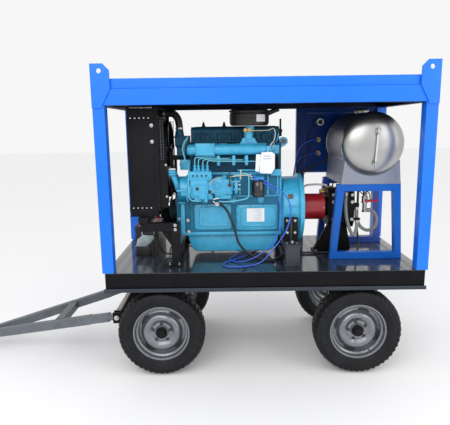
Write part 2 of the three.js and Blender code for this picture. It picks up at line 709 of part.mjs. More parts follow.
function pullKnob() {
  return lathe('y', [[0, 0.5], [5, 0.5], [5, 12], [17, 16], [17, 28], [0, 30]], [0, 0, 0], 12);
}

// ---- assembly -----------------------------------------------------------
function group(parent) {
  const made = new THREE.Group();
  parent.add(made);
  return made;
}

function buildChassis(parent) {
  const chassis = group(parent);
  part(chassis, 'deck_frame', deckFrame(), BLACK_PAINT);
  part(chassis, 'deck_plate', deckPlate(), BLACK_PAINT);
  for (const [name, sx, sy] of [['front_near', -1, -1], ['front_far', -1, 1],
    ['rear_near', 1, -1], ['rear_far', 1, 1]]) {
    part(chassis, `frame_post_${name}`, framePost(sx, sy), BLUE_PAINT);
  }
  part(chassis, 'roof_rim', roofRim(), BLUE_PAINT);
  part(chassis, 'roof_panel', roofPanel(), BLUE_PAINT);
  part(chassis, 'control_panel', controlPanel(), NAVY_PAINT);
}

function buildRunningGear(parent) {
  const gear = group(parent);
  part(gear, 'turntable_plate', turntablePlate(), BLACK_PAINT);
  part(gear, 'rear_axle', rearAxle(), BLACK_PAINT);
  const steered = group(gear);
  part(steered, 'steer_subframe', steerSubframe(), BLACK_PAINT);
  part(steered, 'front_axle', frontAxle(), BLACK_PAINT);
  part(steered, 'drawbar', drawbar(), GREY_PAINT);
  const eyeZ = APEX_Z - LEG_SLOPE * (APEX_X - EYE_X);
  part(steered, 'tow_eye', towEye(), STEEL, [EYE_X, 0, eyeZ], [0, -Math.atan(LEG_SLOPE), 0]);
  const [tyreShape, rimShape] = [tyre(), wheelRim()];
  for (const [end, x] of [['front', FRONT_X], ['rear', REAR_X]]) {
    for (const [hand, side] of [['near', -1], ['far', 1]]) {
      const place = [x, side * WHEEL_Y, AXLE_Z];
      const turn = [0, 0, side > 0 ? Math.PI : 0];
      part(gear, `tyre_${end}_${hand}`, tyreShape, RUBBER, place, turn);
      part(gear, `wheel_rim_${end}_${hand}`, rimShape, RIM_PAINT, place, turn);
    }
  }
}

function buildEngine(parent) {
  const engine = group(parent);
  part(engine, 'engine_block', engineBlock(), ENGINE_PAINT);
  part(engine, 'oil_pan', oilPan(), ENGINE_PAINT);
  part(engine, 'cylinder_head', cylinderHead(), ENGINE_PAINT);
  part(engine, 'valve_cover', valveCover(), ENGINE_PAINT);
  part(engine, 'flywheel_housing', flywheelHousing(), ENGINE_PAINT);
  part(engine, 'intake_manifold', intakeManifold(), ENGINE_PAINT);
  part(engine, 'exhaust_silencer', exhaustSilencer(), BLACK_PAINT);
  part(engine, 'injection_pump', injectionPump(), ENGINE_PAINT);
  part(engine, 'oil_filter', oilFilter(), BLACK_PAINT);
  part(engine, 'air_filter', airFilter(), BLACK_PLASTIC);
  part(engine, 'alternator', alternator(), STEEL);
  part(engine, 'radiator', radiator(), BLACK_PAINT);
  part(engine, 'radiator_hose', radiatorHose(), RUBBER);
  part(engine, 'fan_guard', fanGuard(), BLACK_PAINT);
  part(engine, 'fan', fan(), BLACK_PLASTIC);
  part(engine, 'crank_pulley', crankPulley(), BLACK_PAINT, [BELT_X, 0, CRANK_Z]);
  part(engine, 'alternator_pulley', alternatorPulley(), STEEL, [BELT_X, ALTERNATOR_Y, ALTERNATOR_Z]);
  part(engine, 'drive_coupling', driveCoupling(), STEEL);
  part(engine, 'coupling_guard', couplingGuard(), RED_PAINT);
  part(engine, 'front_engine_mount', frontEngineMount(), BLACK_PAINT);
  part(engine, 'rear_engine_mount', rearEngineMount(), BLACK_PAINT);
  part(engine, 'fuel_hose', hose(FUEL_ROUTE, 8, 8, 8), RUBBER);
  part(engine, 'control_cable', hose(CABLE_ROUTE, 5, 6, 14), BLUE_PLASTIC);
  part(engine, 'throttle_lever', throttleLever(), STEEL, [-225, 0, 1300]);
  part(engine, 'battery', battery(), BLACK_PLASTIC);
}

function buildWaterSide(parent) {
  const water = group(parent);
  part(water, 'pump_crankcase', pumpCrankcase(), BLACK_PAINT);
  part(water, 'pump_head', pumpHead(), BRASS);
  part(water, 'tank_shell', tankShell(), STAINLESS);
  part(water, 'fuel_cap', fuelCap(), BLACK_PLASTIC);
  part(water, 'tank_saddle', tankSaddle(), STAINLESS);
  part(water, 'stand_frame_near', standFrame(-242, -192), BLUE_PAINT);
  part(water, 'stand_frame_far', standFrame(238, 288), BLUE_PAINT);
  part(water, 'suction_hose', hose(SUCTION_ROUTE, HOSE_R), GREY_HOSE);
  part(water, 'return_hose', hose(RETURN_ROUTE, HOSE_R), GREY_HOSE);
  part(water, 'valve_handle', valveHandle(), RED_PLASTIC);
  const [throttle, stop] = CABLE_ENDS.map((z) => [524, PANEL_Y, z]);
  part(water, 'throttle_knob', pullKnob(), BLACK_PLASTIC, throttle);
  part(water, 'stop_knob', pullKnob(), RED_PLASTIC, stop);
}

const washer = new THREE.Group();
washer.position.x = -MIDDLE_X;
buildChassis(washer);
buildRunningGear(washer);
buildEngine(washer);
buildWaterSide(washer);

export default washer;
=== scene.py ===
import math

import bmesh
import bpy
from mathutils import Matrix, Vector


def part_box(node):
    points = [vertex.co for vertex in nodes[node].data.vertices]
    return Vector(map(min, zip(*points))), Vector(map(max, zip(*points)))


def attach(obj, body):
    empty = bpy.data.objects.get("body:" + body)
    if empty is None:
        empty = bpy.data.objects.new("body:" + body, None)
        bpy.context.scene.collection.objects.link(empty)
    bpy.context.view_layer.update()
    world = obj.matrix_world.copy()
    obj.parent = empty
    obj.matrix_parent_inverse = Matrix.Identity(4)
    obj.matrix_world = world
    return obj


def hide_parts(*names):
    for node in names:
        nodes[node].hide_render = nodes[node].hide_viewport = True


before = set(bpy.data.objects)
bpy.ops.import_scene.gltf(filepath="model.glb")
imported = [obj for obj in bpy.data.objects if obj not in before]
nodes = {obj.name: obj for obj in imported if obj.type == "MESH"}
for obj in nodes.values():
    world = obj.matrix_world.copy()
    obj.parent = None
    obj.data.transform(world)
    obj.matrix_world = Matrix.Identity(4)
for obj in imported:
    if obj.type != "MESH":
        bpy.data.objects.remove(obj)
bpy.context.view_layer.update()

# Every length below is in millimetres: x from the middle of the deck, y from the
# trailer's centre plane, z from the ground. point() turns it into the row frame.
deck_low, deck_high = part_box("deck_plate")
MIDDLE = (deck_low.x + deck_high.x) / 2

# Centre lines and planes that several pieces share.
CRANK_Z = 1090
FAN_Z = 1470
BELT_X = -650
ALTERNATOR_Y, ALTERNATOR_Z = 250, 1230
TANK_X, TANK_Z = 762, 1561
TANK_R = 217
DRAWBAR_SLOPE = 0.24262
KNOB_X = 524
THROTTLE_Z, STOP_Z = 1574, 1462


def point(x, y, z):
    return Vector((MIDDLE + x / 1000, y / 1000, z / 1000))


def box_of(*names):
    """The box round some CAD nodes in the same millimetres: x0, x1, y0, y1, z0, z1."""
    corners = [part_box(name) for name in names]
    low = [min(c[0][k] for c in corners) * 1000 for k in range(3)]
    high = [max(c[1][k] for c in corners) * 1000 for k in range(3)]
    shift = MIDDLE * 1000
    return (low[0] - shift, high[0] - shift, low[1], high[1], low[2], high[2])


# ---- mesh building ------------------------------------------------------
def basis(axis):
    """A direction with two more across it. axis is x, y or z, -x, -y or -z, or a vector."""
    if isinstance(axis, str):
        sign = -1 if axis[0] == "-" else 1
        along = Vector([sign * (c == axis[-1]) for c in "xyz"])
    else:
        along = Vector(axis).normalized()
    side = along.cross(Vector((0, 0, 1)))
    if side.length < 1e-3:
        side = Vector((1, 0, 0))
    side.normalize()
    return along, side, along.cross(side)


def curve_through(points, steps=6, closed=False):
    """Catmull-Rom points through the given ones."""
    p = [Vector(q) for q in points]
    count = len(p)
    spans = count if closed else count - 1
    out = []
    for i in range(spans):
        if closed:
            a, b, c, d = (p[(i + k) % count] for k in (-1, 0, 1, 2))
        else:
            b, c = p[i], p[i + 1]
            a = p[i - 1] if i > 0 else b + (b - c)
            d = p[i + 2] if i + 2 < count else c + (c - b)
        for k in range(steps):
            t = k / steps
            out.append(0.5 * ((2 * b) + (c - a) * t + (2 * a - 5 * b + 4 * c - d) * t * t
                              + (3 * b - a - 3 * c + d) * t * t * t))
    if not closed:
        out.append(p[-1])
    return out


def around(count, radius, shift=0.0):
    """Offsets of so many points on a circle, the first turned by a share of one step."""
    angles = (2 * math.pi * (k + shift) / count for k in range(count))
    return [(radius * math.cos(a), radius * math.sin(a)) for a in angles]


def rounded(x0, x1, z0, z1, corner, steps=5):
    """The outline of a rounded rectangle."""
    out = []
    for cx, cz, start in ((x1 - corner, z1 - corner, 0), (x0 + corner, z1 - corner, 90),
                          (x0 + corner, z0 + corner, 180), (x1 - corner, z0 + corner, 270)):
        for k in range(steps + 1):
            a = math.radians(start + 90 * k / steps)
            out.append((cx + corner * math.cos(a), cz + corner * math.sin(a)))
    return out


class Shape:
    """Collects closed solids in one bmesh."""

    def __init__(self):
        self.bm = bmesh.new()

    def bridge(self, low, high):
        if len(low) == 1 and len(high) == 1:
            return
        count = max(len(low), len(high))
        for k in range(count):
            n = (k + 1) % count
            if len(low) == 1:
                corners = (low[0], high[n], high[k])
            elif len(high) == 1:
                corners = (low[k], low[n], high[0])
            else:
                corners = (low[k], low[n], high[n], high[k])
            self.bm.faces.new(corners)

    def turned(self, profile, origin, axis="y", sides=32, closed=False, wobble=None):
        """(radius, height) points turned about an axis; heights run from the origin."""
        along, side, across = basis(axis)
        start = point(*origin)
        rings = []
        for radius, height in profile:
            if radius < 1e-6:
                rings.append([self.bm.verts.new(start + along * (height / 1000))])
                continue
            ring = []
            for k in range(sides):
                angle = 2 * math.pi * k / sides
                lift = height + (wobble(radius, angle) if wobble else 0)
                ring.append(self.bm.verts.new(
                    start + along * (lift / 1000)
                    + (side * math.cos(angle) + across * math.sin(angle)) * (radius / 1000)))
            rings.append(ring)
        for low, high in zip(rings, rings[1:]):
            self.bridge(low, high)
        if closed:
            self.bridge(rings[-1], rings[0])
        return self

    def rod(self, radius, start, end, sides=24, chamfer=1.0):
        """A round bar from one point to another with chamfered ends."""
        a, b = Vector(start), Vector(end)
        length = (b - a).length
        c = min(chamfer, radius * 0.4, length * 0.3)
        profile = [(0, 0), (radius - c, 0), (radius, c), (radius, length - c),
                   (radius - c, length), (0, length)]
        return self.turned(profile, start, b - a, sides)

    def prism(self, axis, outline, start, end, bevel=1.5, segments=2):
        """An outline in the plane across an axis, (y, z), (x, z) or (x, y), extruded."""
        def place(a, b, h):
            return {"x": point(h, a, b), "y": point(a, h, b), "z": point(a, b, h)}[axis]
        low = [self.bm.verts.new(place(a, b, start)) for a, b in outline]
        high = [self.bm.verts.new(place(a, b, end)) for a, b in outline]
        made = [self.bm.faces.new(low), self.bm.faces.new(high)]
        count = len(outline)
        for k in range(count):
            n = (k + 1) % count
            made.append(self.bm.faces.new((low[k], low[n], high[n], high[k])))
        if bevel:
            edges = list({e for f in made for e in f.edges})
            bmesh.ops.bevel(self.bm, geom=edges, offset=bevel / 1000, segments=segments,
                            profile=0.5, affect="EDGES", clamp_overlap=True)
        return self

    def box(self, x0, x1, y0, y1, z0, z1, bevel=1.5, turn=None, segments=2):
        """A box with rounded edges, turned about its own middle if turn = (axis, degrees)."""
        before = set(self.bm.verts)
        self.prism("z", [(x0, y0), (x1, y0), (x1, y1), (x0, y1)], z0, z1, bevel, segments)
        if turn:
            middle = point((x0 + x1) / 2, (y0 + y1) / 2, (z0 + z1) / 2)
            spin = Matrix.Rotation(math.radians(turn[1]), 3, turn[0])
            bmesh.ops.rotate(self.bm, cent=middle, matrix=spin,
                             verts=[v for v in self.bm.verts if v not in before])
        return self

    def tube(self, points, radius, sides=12, steps=6, closed=False, smooth=True, flat=1.0):
        """A round or flattened tube along a smooth line through the points."""
        line = curve_through(points, steps, closed) if smooth else [Vector(p) for p in points]
        line = [point(*p) for p in line]
        count = len(line)
        across = None
        rings = []
        for i, here in enumerate(line):
            before = line[i - 1] if i or closed else line[0]
            after = line[(i + 1) % count] if i + 1 < count or closed else line[-1]
            along = (after - before).normalized()
            if across is None:
                across = basis(along)[1]
            across = (across - along * across.dot(along)).normalized()
            up = along.cross(across)
            rings.append([self.bm.verts.new(
                here + (across * math.cos(a) + up * math.sin(a) * flat) * (radius / 1000))
                for a in (2 * math.pi * k / sides for k in range(sides))])
        for low, high in zip(rings, rings[1:]):
            self.bridge(low, high)
        if closed:
            self.bridge(rings[-1], rings[0])
        else:
            self.bm.faces.new(rings[0])
            self.bm.faces.new(list(reversed(rings[-1])))
        return self

    def bolt(self, x, y, z, axis="-y", size=7, washer=True):
        """A hexagon head on a washer, standing out along the axis."""
        along = basis(axis)[0]
        foot = 1.6 if washer else 0
        if washer:
            self.turned([(0, 0), (size * 1.35, 0), (size * 1.35, 1.2), (size * 1.2, 1.6), (0, 1.6)],
                        (x, y, z), axis, 16)
        top = size * 0.7
        start = (x + along.x * foot, y + along.y * foot, z + along.z * foot)
        self.turned([(0, 0), (size, 0), (size, top * 0.8), (size * 0.86, top), (0, top)],
                    start, axis, 6)
        return self

    def rim(self, x0, x1, z0, z1, y, corner, radius):
        """A raised bead round a rounded rectangle that faces -y."""
        line = [(x, y, z) for x, z in rounded(x0, x1, z0, z1, corner)]
        return self.tube(line, radius, 8, closed=True, smooth=False)


def piece(name, body, shape, material, replaces=(), sharp=32):
    """Turns a Shape into an object that rides on a CAD body."""
    bm = shape.bm
    bmesh.ops.recalc_face_normals(bm, faces=bm.faces)
    mesh = bpy.data.meshes.new(name)
    bm.to_mesh(mesh)
    bm.free()
    mesh.polygons.foreach_set("use_smooth", [True] * len(mesh.polygons))
    mesh.set_sharp_from_angle(angle=math.radians(sharp))
    mesh.materials.append(material)
    made = bpy.data.objects.new(name, mesh)
    bpy.context.scene.collection.objects.link(made)
    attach(made, body)
    if replaces:
        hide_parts(*([replaces] if isinstance(replaces, str) else replaces))
    return made


# ---- materials ----------------------------------------------------------
def rgb(r, g, b):
    """A display colour, 0 to 255, as linear light."""
    return tuple((c / 255 / 12.92) if c <= 10 else ((c / 255 + 0.055) / 1.055) ** 2.4
                 for c in (r, g, b)) + (1.0,)


def material(name, colour, roughness, metallic=0.0, vary=0.12, scale=5.0, grain=260.0, bump=0.12,
             rough_vary=0.08, wear=None, wear_share=0.5, wear_radius=0.0025, dirt=None,
             dirt_share=0.0, dirt_scale=7.0, coat=0.0, specular=0.5):
    """A painted, moulded or metal surface: broad shade changes, patchy roughness, fine grain in
    the bump, dirty patches and worn, rounded edges. Colours are display values, 0 to 255."""
    colour, wear, dirt = (rgb(*c) if c else None for c in (colour, wear, dirt))
    made = bpy.data.materials.new(name)
    made.use_nodes = True
    tree = made.node_tree
    new, link = tree.nodes.new, tree.links.new
    shader = tree.nodes["Principled BSDF"]
    shader.inputs["Metallic"].default_value = metallic
    shader.inputs["Coat Weight"].default_value = coat
    shader.inputs["Coat Roughness"].default_value = 0.06
    shader.inputs["Specular IOR Level"].default_value = specular
    coords = new("ShaderNodeTexCoord")

    def noise(size, detail, rough=0.55):
        made_noise = new("ShaderNodeTexNoise")
        made_noise.inputs["Scale"].default_value = size
        made_noise.inputs["Detail"].default_value = detail
        made_noise.inputs["Roughness"].default_value = rough
        link(coords.outputs["Object"], made_noise.inputs["Vector"])
        return made_noise.outputs["Fac"]

    def span(value, low, high, to_low, to_high):
        made_span = new("ShaderNodeMapRange")
        for key, number in (("From Min", low), ("From Max", high),
                            ("To Min", to_low), ("To Max", to_high)):
            made_span.inputs[key].default_value = number
        link(value, made_span.inputs["Value"])
        return made_span.outputs["Result"]

    def mix(share, low, high):
        made_mix = new("ShaderNodeMix")
        made_mix.data_type = "RGBA"
        link(share, made_mix.inputs["Factor"])
        for key, value in (("A", low), ("B", high)):
            socket = next(s for s in made_mix.inputs if s.name == key and s.type == "RGBA")
            if isinstance(value, tuple):
                socket.default_value = value
            else:
                link(value, socket)
        return next(s for s in made_mix.outputs if s.type == "RGBA")

    def times(a, b):
        made_math = new("ShaderNodeMath")
        made_math.operation = "MULTIPLY"
        link(a, made_math.inputs[0])
        link(b, made_math.inputs[1])
        return made_math.outputs[0]

    darker = tuple(c * (1 - vary) for c in colour[:3]) + (1.0,)
    lighter = tuple(min(1, c * (1 + vary)) for c in colour[:3]) + (1.0,)
    broad = noise(scale, 5)
    fine = noise(grain, 3)
    shade = mix(span(broad, 0.3, 0.7, 0, 1), darker, lighter)
    rough = span(noise(scale * 6, 4), 0.3, 0.7, max(0.02, roughness - rough_vary),
                 min(1, roughness + rough_vary))
    if dirt:
        patches = span(noise(dirt_scale, 8, 0.68), 0.5, 0.68, 0, dirt_share)
        shade = mix(patches, shade, dirt)
    edge = None
    if wear:
        edge = new("ShaderNodeBevel")
        edge.samples = 4
        edge.inputs["Radius"].default_value = wear_radius
        facing = new("ShaderNodeNewGeometry")
        dot = new("ShaderNodeVectorMath")
        dot.operation = "DOT_PRODUCT"
        link(edge.outputs["Normal"], dot.inputs[0])
        link(facing.outputs["Normal"], dot.inputs[1])
        worn = times(span(dot.outputs["Value"], 0.995, 0.9, 0, 1),
                     span(noise(45, 5, 0.7), 0.42, 0.62, 0, wear_share))
        shade = mix(worn, shade, wear)
    link(shade, shader.inputs["Base Color"])
    link(rough, shader.inputs["Roughness"])
    bumper = new("ShaderNodeBump")
    bumper.inputs["Strength"].default_value = bump
    bumper.inputs["Distance"].default_value = 0.0006
    link(fine, bumper.inputs["Height"])
    if edge:
        link(edge.outputs["Normal"], bumper.inputs["Normal"])
    link(bumper.outputs["Normal"], shader.inputs["Normal"])
    return made


RUST = (120, 78, 48)
BLUE = material("blue_paint", (16, 112, 230), 0.36, vary=0.05, scale=2.5, bump=0.06, grain=160,
                specular=0.3,
                wear=(120, 140, 170), wear_share=0.35, coat=0.08, dirt=(50, 110, 190),
                dirt_share=0.12)
STAND_BLUE = material("stand_blue", (10, 88, 176), 0.4, vary=0.06, scale=2.5, bump=0.06,
                      specular=0.25, wear=(70, 120, 180), wear_share=0.3, dirt=(20, 70, 150),
                      dirt_share=0.3)
# Frame blue darkened as painted shade, for the far stand and the panel edges under the roof.
BLUE_PAINTED_SHADE = material("blue_painted_shade", (16, 62, 150), 0.38, vary=0.06, scale=2.5, bump=0.06,
                      wear=(90, 110, 150), wear_share=0.3, coat=0.2)
# Navy paint for the control panel and switch box, darkened further as painted shade for the shade
# under the roof.
NAVY_DARKENED_FOR_SHADE = material("navy_paint", (2, 50, 122), 0.36, vary=0.12, scale=3, bump=0.06,
                wear=(40, 80, 140), wear_share=0.35, coat=0.05, dirt=(8, 44, 104),
                dirt_share=0.3, specular=0.14)
# Near-black navy for thin sheets under the roof: painted shade, not a real lining.
ROOF_PAINTED_SHADE = material("roof_painted_shade", (4, 16, 42), 0.5, vary=0.15, scale=3, bump=0.06,
                       specular=0.15, dirt=(10, 30, 66), dirt_share=0.4)
BLACK = material("black_paint", (12, 12, 16), 0.42, specular=0.12, vary=0.2, scale=6, bump=0.1,
                 wear=(90, 90, 92), wear_share=0.35, dirt=(26, 26, 28), dirt_share=0.25)
MATT_BLACK = material("black_matt", (20, 20, 23), 0.62, specular=0.15, vary=0.14, scale=5,
                      bump=0.12,
                      wear=(70, 70, 72), wear_share=0.25, dirt=(34, 32, 32),
                      dirt_share=0.25)
DARK_GREY = material("dark_grey_paint", (54, 58, 66), 0.5, specular=0.3, vary=0.15, scale=9,
                     bump=0.12,
                     wear=(120, 120, 122), wear_share=0.5, dirt=(45, 45, 48), dirt_share=0.4)
EDGE_GREY = material("rail_edge", (46, 52, 62), 0.5, specular=0.3, vary=0.12, scale=6,
                     dirt=(30, 32, 38), dirt_share=0.4, wear=(110, 112, 116), wear_share=0.4)
DECK = material("deck_gloss", (20, 26, 34), 0.12, vary=0.3, scale=3, bump=0.1, rough_vary=0.06,
                dirt=(46, 50, 58), dirt_share=0.5, dirt_scale=5, coat=0.6)
DECK_BARS = material("deck_bars", (70, 78, 90), 0.2, metallic=0.3, vary=0.3, scale=8, bump=0.1,
                     coat=0.5, wear=(150, 154, 160), wear_share=0.7, wear_radius=0.001)
GREY = material("grey_paint", (92, 98, 104), 0.5, vary=0.14, scale=7, bump=0.14,
                wear=(140, 140, 138), wear_share=0.6, dirt=(62, 62, 62), dirt_share=0.5,
                dirt_scale=11)
PALE_GREY = material("pale_grey_paint", (176, 174, 170), 0.45, metallic=0.3, vary=0.12, scale=9,
                     dirt=(128, 104, 84), dirt_share=0.5, wear=RUST, wear_share=0.3)
ENGINE = material("engine_paint", (57, 163, 203), 0.36, vary=0.1, scale=6, grain=420, bump=0.2,
                  wear=(120, 175, 190), wear_share=0.4, coat=0.2, dirt=(32, 112, 146),
                  dirt_share=0.35, dirt_scale=10)
# Engine paint darkened as painted shade for the middle of the block.
ENGINE_PAINTED_HALF_SHADE = material("engine_paint_half_shade", (26, 108, 140), 0.42, specular=0.3, vary=0.14,
                      scale=7, grain=420, bump=0.2, wear=(90, 145, 162), wear_share=0.35,
                      dirt=(14, 66, 88), dirt_share=0.45)
# Engine paint darkened as painted shade for the head and rocker cover under the roof.
ENGINE_PAINTED_SHADE = material("engine_painted_shade", (14, 74, 100), 0.46, specular=0.25, vary=0.16,
                       scale=7, grain=420,
                       bump=0.2, wear=(80, 130, 145), wear_share=0.35, dirt=(8, 44, 62),
                       dirt_share=0.5)
TEAL_DARK = material("pulley_teal", (14, 62, 80), 0.4, vary=0.2, wear=(90, 110, 115),
                     wear_share=0.4)
RED = material("red_paint", (158, 24, 34), 0.36, vary=0.12, scale=8, bump=0.12, coat=0.3,
               wear=(110, 60, 50), wear_share=0.4, dirt=(96, 18, 24), dirt_share=0.5)
STAINLESS = material("stainless", (176, 175, 174), 0.34, metallic=1.0, vary=0.06, scale=3,
                     grain=700, bump=0.015, rough_vary=0.03, dirt=(140, 128, 112),
                     dirt_share=0.4, dirt_scale=4)
SHEET = material("stainless_sheet", (140, 146, 160), 0.38, metallic=0.7, vary=0.06, scale=5,
                 grain=200, bump=0.06, dirt=(142, 142, 148), dirt_share=0.4,
                 wear=(225, 225, 225), wear_share=0.5)
RIM_PAINT = material("rim_steel", (126, 129, 134), 0.3, metallic=0.8, vary=0.08, scale=9,
                     grain=300, bump=0.08, dirt=(112, 112, 114), dirt_share=0.2,
                     wear=(205, 205, 206), wear_share=0.4)
TYRE = material("tyre_rubber", (21, 22, 26), 0.5, specular=0.2, vary=0.26, scale=10, grain=500,
                bump=0.3,
                dirt=(46, 45, 46), dirt_share=0.3, dirt_scale=16, wear=(76, 72, 66),
                wear_share=0.6)
STEEL = material("plated_steel", (186, 188, 188), 0.28, metallic=0.95, vary=0.1, scale=18,
                 grain=300, bump=0.08, dirt=(130, 126, 118), dirt_share=0.3)
ALLOY = material("alternator_alloy", (168, 168, 170), 0.4, metallic=0.85, vary=0.12, scale=14,
                 grain=380, bump=0.25, dirt=(104, 102, 100), dirt_share=0.4)
BRASS = material("brass", (206, 176, 116), 0.32, metallic=0.9, vary=0.14, scale=14, bump=0.12,
                 dirt=(98, 70, 40), dirt_share=0.6, wear=(220, 190, 130), wear_share=0.5)
ROD_STEEL = material("pale_rod", (206, 194, 166), 0.32, metallic=0.6, vary=0.12, scale=20,
                     dirt=(150, 130, 96), dirt_share=0.4)
HOSE = material("hose_rubber", (24, 24, 26), 0.5, vary=0.15, scale=9, grain=500, bump=0.2,
                dirt=(62, 58, 54), dirt_share=0.3)
GREY_HOSE = material("grey_hose", (128, 130, 128), 0.5, vary=0.12, scale=12, grain=700, bump=0.35,
                     dirt=(92, 90, 84), dirt_share=0.4)
CABLE = material("cable_blue", (44, 92, 206), 0.3, vary=0.08, scale=9, bump=0.05, coat=0.4,
                 dirt=(30, 60, 140), dirt_share=0.2)
PLASTIC = material("black_plastic", (24, 24, 26), 0.42, vary=0.15, scale=6, grain=600, bump=0.15,
                   dirt=(54, 50, 48), dirt_share=0.25, wear=(80, 78, 76), wear_share=0.4)
RED_PLASTIC = material("red_plastic", (190, 26, 40), 0.3, vary=0.1, scale=9, bump=0.08, coat=0.3,
                       dirt=(120, 20, 28), dirt_share=0.3)
LABEL = material("blank_label", (226, 228, 230), 0.5, vary=0.04, scale=30, bump=0.05,
                 dirt=(196, 198, 204), dirt_share=0.5, dirt_scale=60)
PINK_LABEL = material("blank_pink_label", (214, 192, 200), 0.45, vary=0.08, scale=20, bump=0.05,
                      dirt=(180, 150, 165), dirt_share=0.5, dirt_scale=30)
ZINC = material("zinc_clamp", (172, 186, 188), 0.48, metallic=0.35, vary=0.08, scale=8, bump=0.06,
                dirt=(120, 134, 138), dirt_share=0.4, wear=(214, 220, 220), wear_share=0.4)
CHROME = material("bright_ring", (214, 216, 218), 0.25, metallic=0.4, vary=0.05, scale=12,
                  bump=0.04, dirt=(150, 140, 130), dirt_share=0.4)
CLEAR = material("sight_tube", (206, 210, 208), 0.12, vary=0.05, scale=20, bump=0.03, coat=0.5)
CORE = material("radiator_core", (40, 40, 44), 0.5, metallic=0.5, vary=0.3, scale=30,
                dirt=(90, 84, 78), dirt_share=0.3, dirt_scale=30)
BELT = material("belt_rubber", (34, 34, 36), 0.7, vary=0.15, scale=30, grain=600, bump=0.25)
BROWN = material("inspection_plate", (96, 78, 72), 0.5, vary=0.2, scale=60,
                 dirt=(60, 50, 48), dirt_share=0.6, dirt_scale=80)
GAUGE_GLASS = material("gauge_face", (236, 236, 232), 0.2, vary=0.03, scale=40, bump=0.02,
                       coat=0.6)

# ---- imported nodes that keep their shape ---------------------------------
def keep(name, material_used, bevel=2.0, segments=2):
    """A CAD node stays as it is, with a real finish and, where bevel isn't 0, eased edges."""
    node = nodes[name]
    node.data.materials.clear()
    node.data.materials.append(material_used)
    weld = node.modifiers.new("weld", "WELD")
    weld.merge_threshold = 1e-5
    if bevel:
        edge = node.modifiers.new("edges", "BEVEL")
        edge.width = bevel / 1000
        edge.segments = segments
        edge.limit_method = "ANGLE"
        edge.angle_limit = math.radians(32)
        smooth = node.modifiers.new("normals", "WEIGHTED_NORMAL")
        smooth.weight = 90


ENDS = ("front", "rear")
SIDES = (("near", -1), ("far", 1))
for end in ENDS:
    for side, _ in SIDES:
        keep(f"frame_post_{end}_{side}", BLUE, 2.5, 3)
for node_name, finish, *edges in (
        ("roof_rim", BLUE, 2.5, 3), ("roof_panel", BLUE, 2.5, 3), ("deck_frame", BLACK),
        ("deck_plate", DECK, 0.8, 1), ("control_panel", NAVY_DARKENED_FOR_SHADE), ("turntable_plate", BLACK),
        ("rear_axle", BLACK, 1, 1), ("front_axle", BLACK), ("steer_subframe", BLACK),
        ("drawbar", GREY, 3, 3), ("engine_block", ENGINE_PAINTED_HALF_SHADE, 0),
        ("cylinder_head", ENGINE_PAINTED_SHADE, 4, 3), ("radiator", MATT_BLACK, 3),
        ("front_engine_mount", MATT_BLACK), ("rear_engine_mount", DARK_GREY),
        ("pump_crankcase", BLACK, 4, 3), ("tank_saddle", SHEET, 1.5),
        ("stand_frame_near", STAND_BLUE, 3, 3), ("stand_frame_far", BLUE_PAINTED_SHADE, 3, 3),
        ("battery", PLASTIC, 4, 3)):
    keep(node_name, finish, *edges)

# ---- roof shade: thin dark sheets on the inner faces, painted shade under the roof ---
shade_sheets = Shape()
shade_sheets.box(-1065, 1065, -507, 507, 1986.4, 1987.6, 0.3)
for side in (-1, 1):
    shade_sheets.box(-1064, 1064, side * 506.4, side * 507.6, 1931, 1986, 0.3)
    shade_sheets.box(side * 1064.4, side * 1065.6, -506, 506, 1931, 1986, 0.3)
    shade_sheets.box(-1012, 1012, side * 460.2, side * 461.4, 1831, 1929, 0.3)
    shade_sheets.box(side * 1012.4, side * 1013.6, -459, 459, 1831, 1929, 0.3)
    shade_sheets.box(side * 1016, side * 1070, -445, 445, 1828.6, 1829.8, 0.3)
shade_sheets.box(-998, 998, -518, -463, 1828.6, 1829.8, 0.3)
shade_sheets.box(-998, 335, 463, 518, 1828.6, 1829.8, 0.3)
piece("roof_painted_shade", "trailer", shade_sheets, ROOF_PAINTED_SHADE)

# ---- deck: raised bars of the checker plate -----------------------------
bars = Shape()
x0, x1, y0, y1, _, top = box_of("deck_plate")
pitch, length, width, height = 34, 26, 6.5, 1.3
row = 0
y = y0 + 14
while y < y1 - 10:
    x = x0 + 18 + (row % 2) * pitch / 2
    column = 0
    while x < x1 - 14:
        angle = math.radians(45 if (row + column) % 2 else -45)
        c, s = math.cos(angle), math.sin(angle)
        outline = [(-0.5, 0), (-0.3, 0.4), (0.3, 0.4), (0.5, 0), (0.3, -0.4), (-0.3, -0.4)]
        foot = [bars.bm.verts.new(point(x + a * length * c - b * width * s,
                                        y + a * length * s + b * width * c, top - 0.4))
                for a, b in outline]
        crest = [bars.bm.verts.new(point(x + 0.72 * a * length * c - 0.4 * b * width * s,
                                         y + 0.72 * a * length * s + 0.4 * b * width * c,
                                         top + height)) for a, b in outline]
        bars.bm.faces.new(crest)
        bars.bm.faces.new(list(reversed(foot)))
        bars.bridge(foot, crest)
        x += pitch
        column += 1
    y += pitch / 2
    row += 1
piece("checker_plate_bars", "trailer", bars, DECK_BARS, sharp=60)

# ---- deck: the rolled lower edge of the side rails -----------------------
lower_edge = Shape()
for side in (-1, 1):
    lower_edge.box(-1069.5, 1069.5, side * 528.3, side * 530.6, 612, 638, 0.8)
    lower_edge.box(-1069.5, 1069.5, side * 518.3, side * 530.2, 627.3, 629.6, 0.5)
piece("deck_lower_edge", "trailer", lower_edge, EDGE_GREY)

# ---- wheels -------------------------------------------------------------
PITCHES = 46  # tread blocks round a tyre
SHOULDER_START = 40  # from here out to the side, mm from the middle, the tread drops away
SHOULDER_DROP = 0.0105  # mm per mm squared


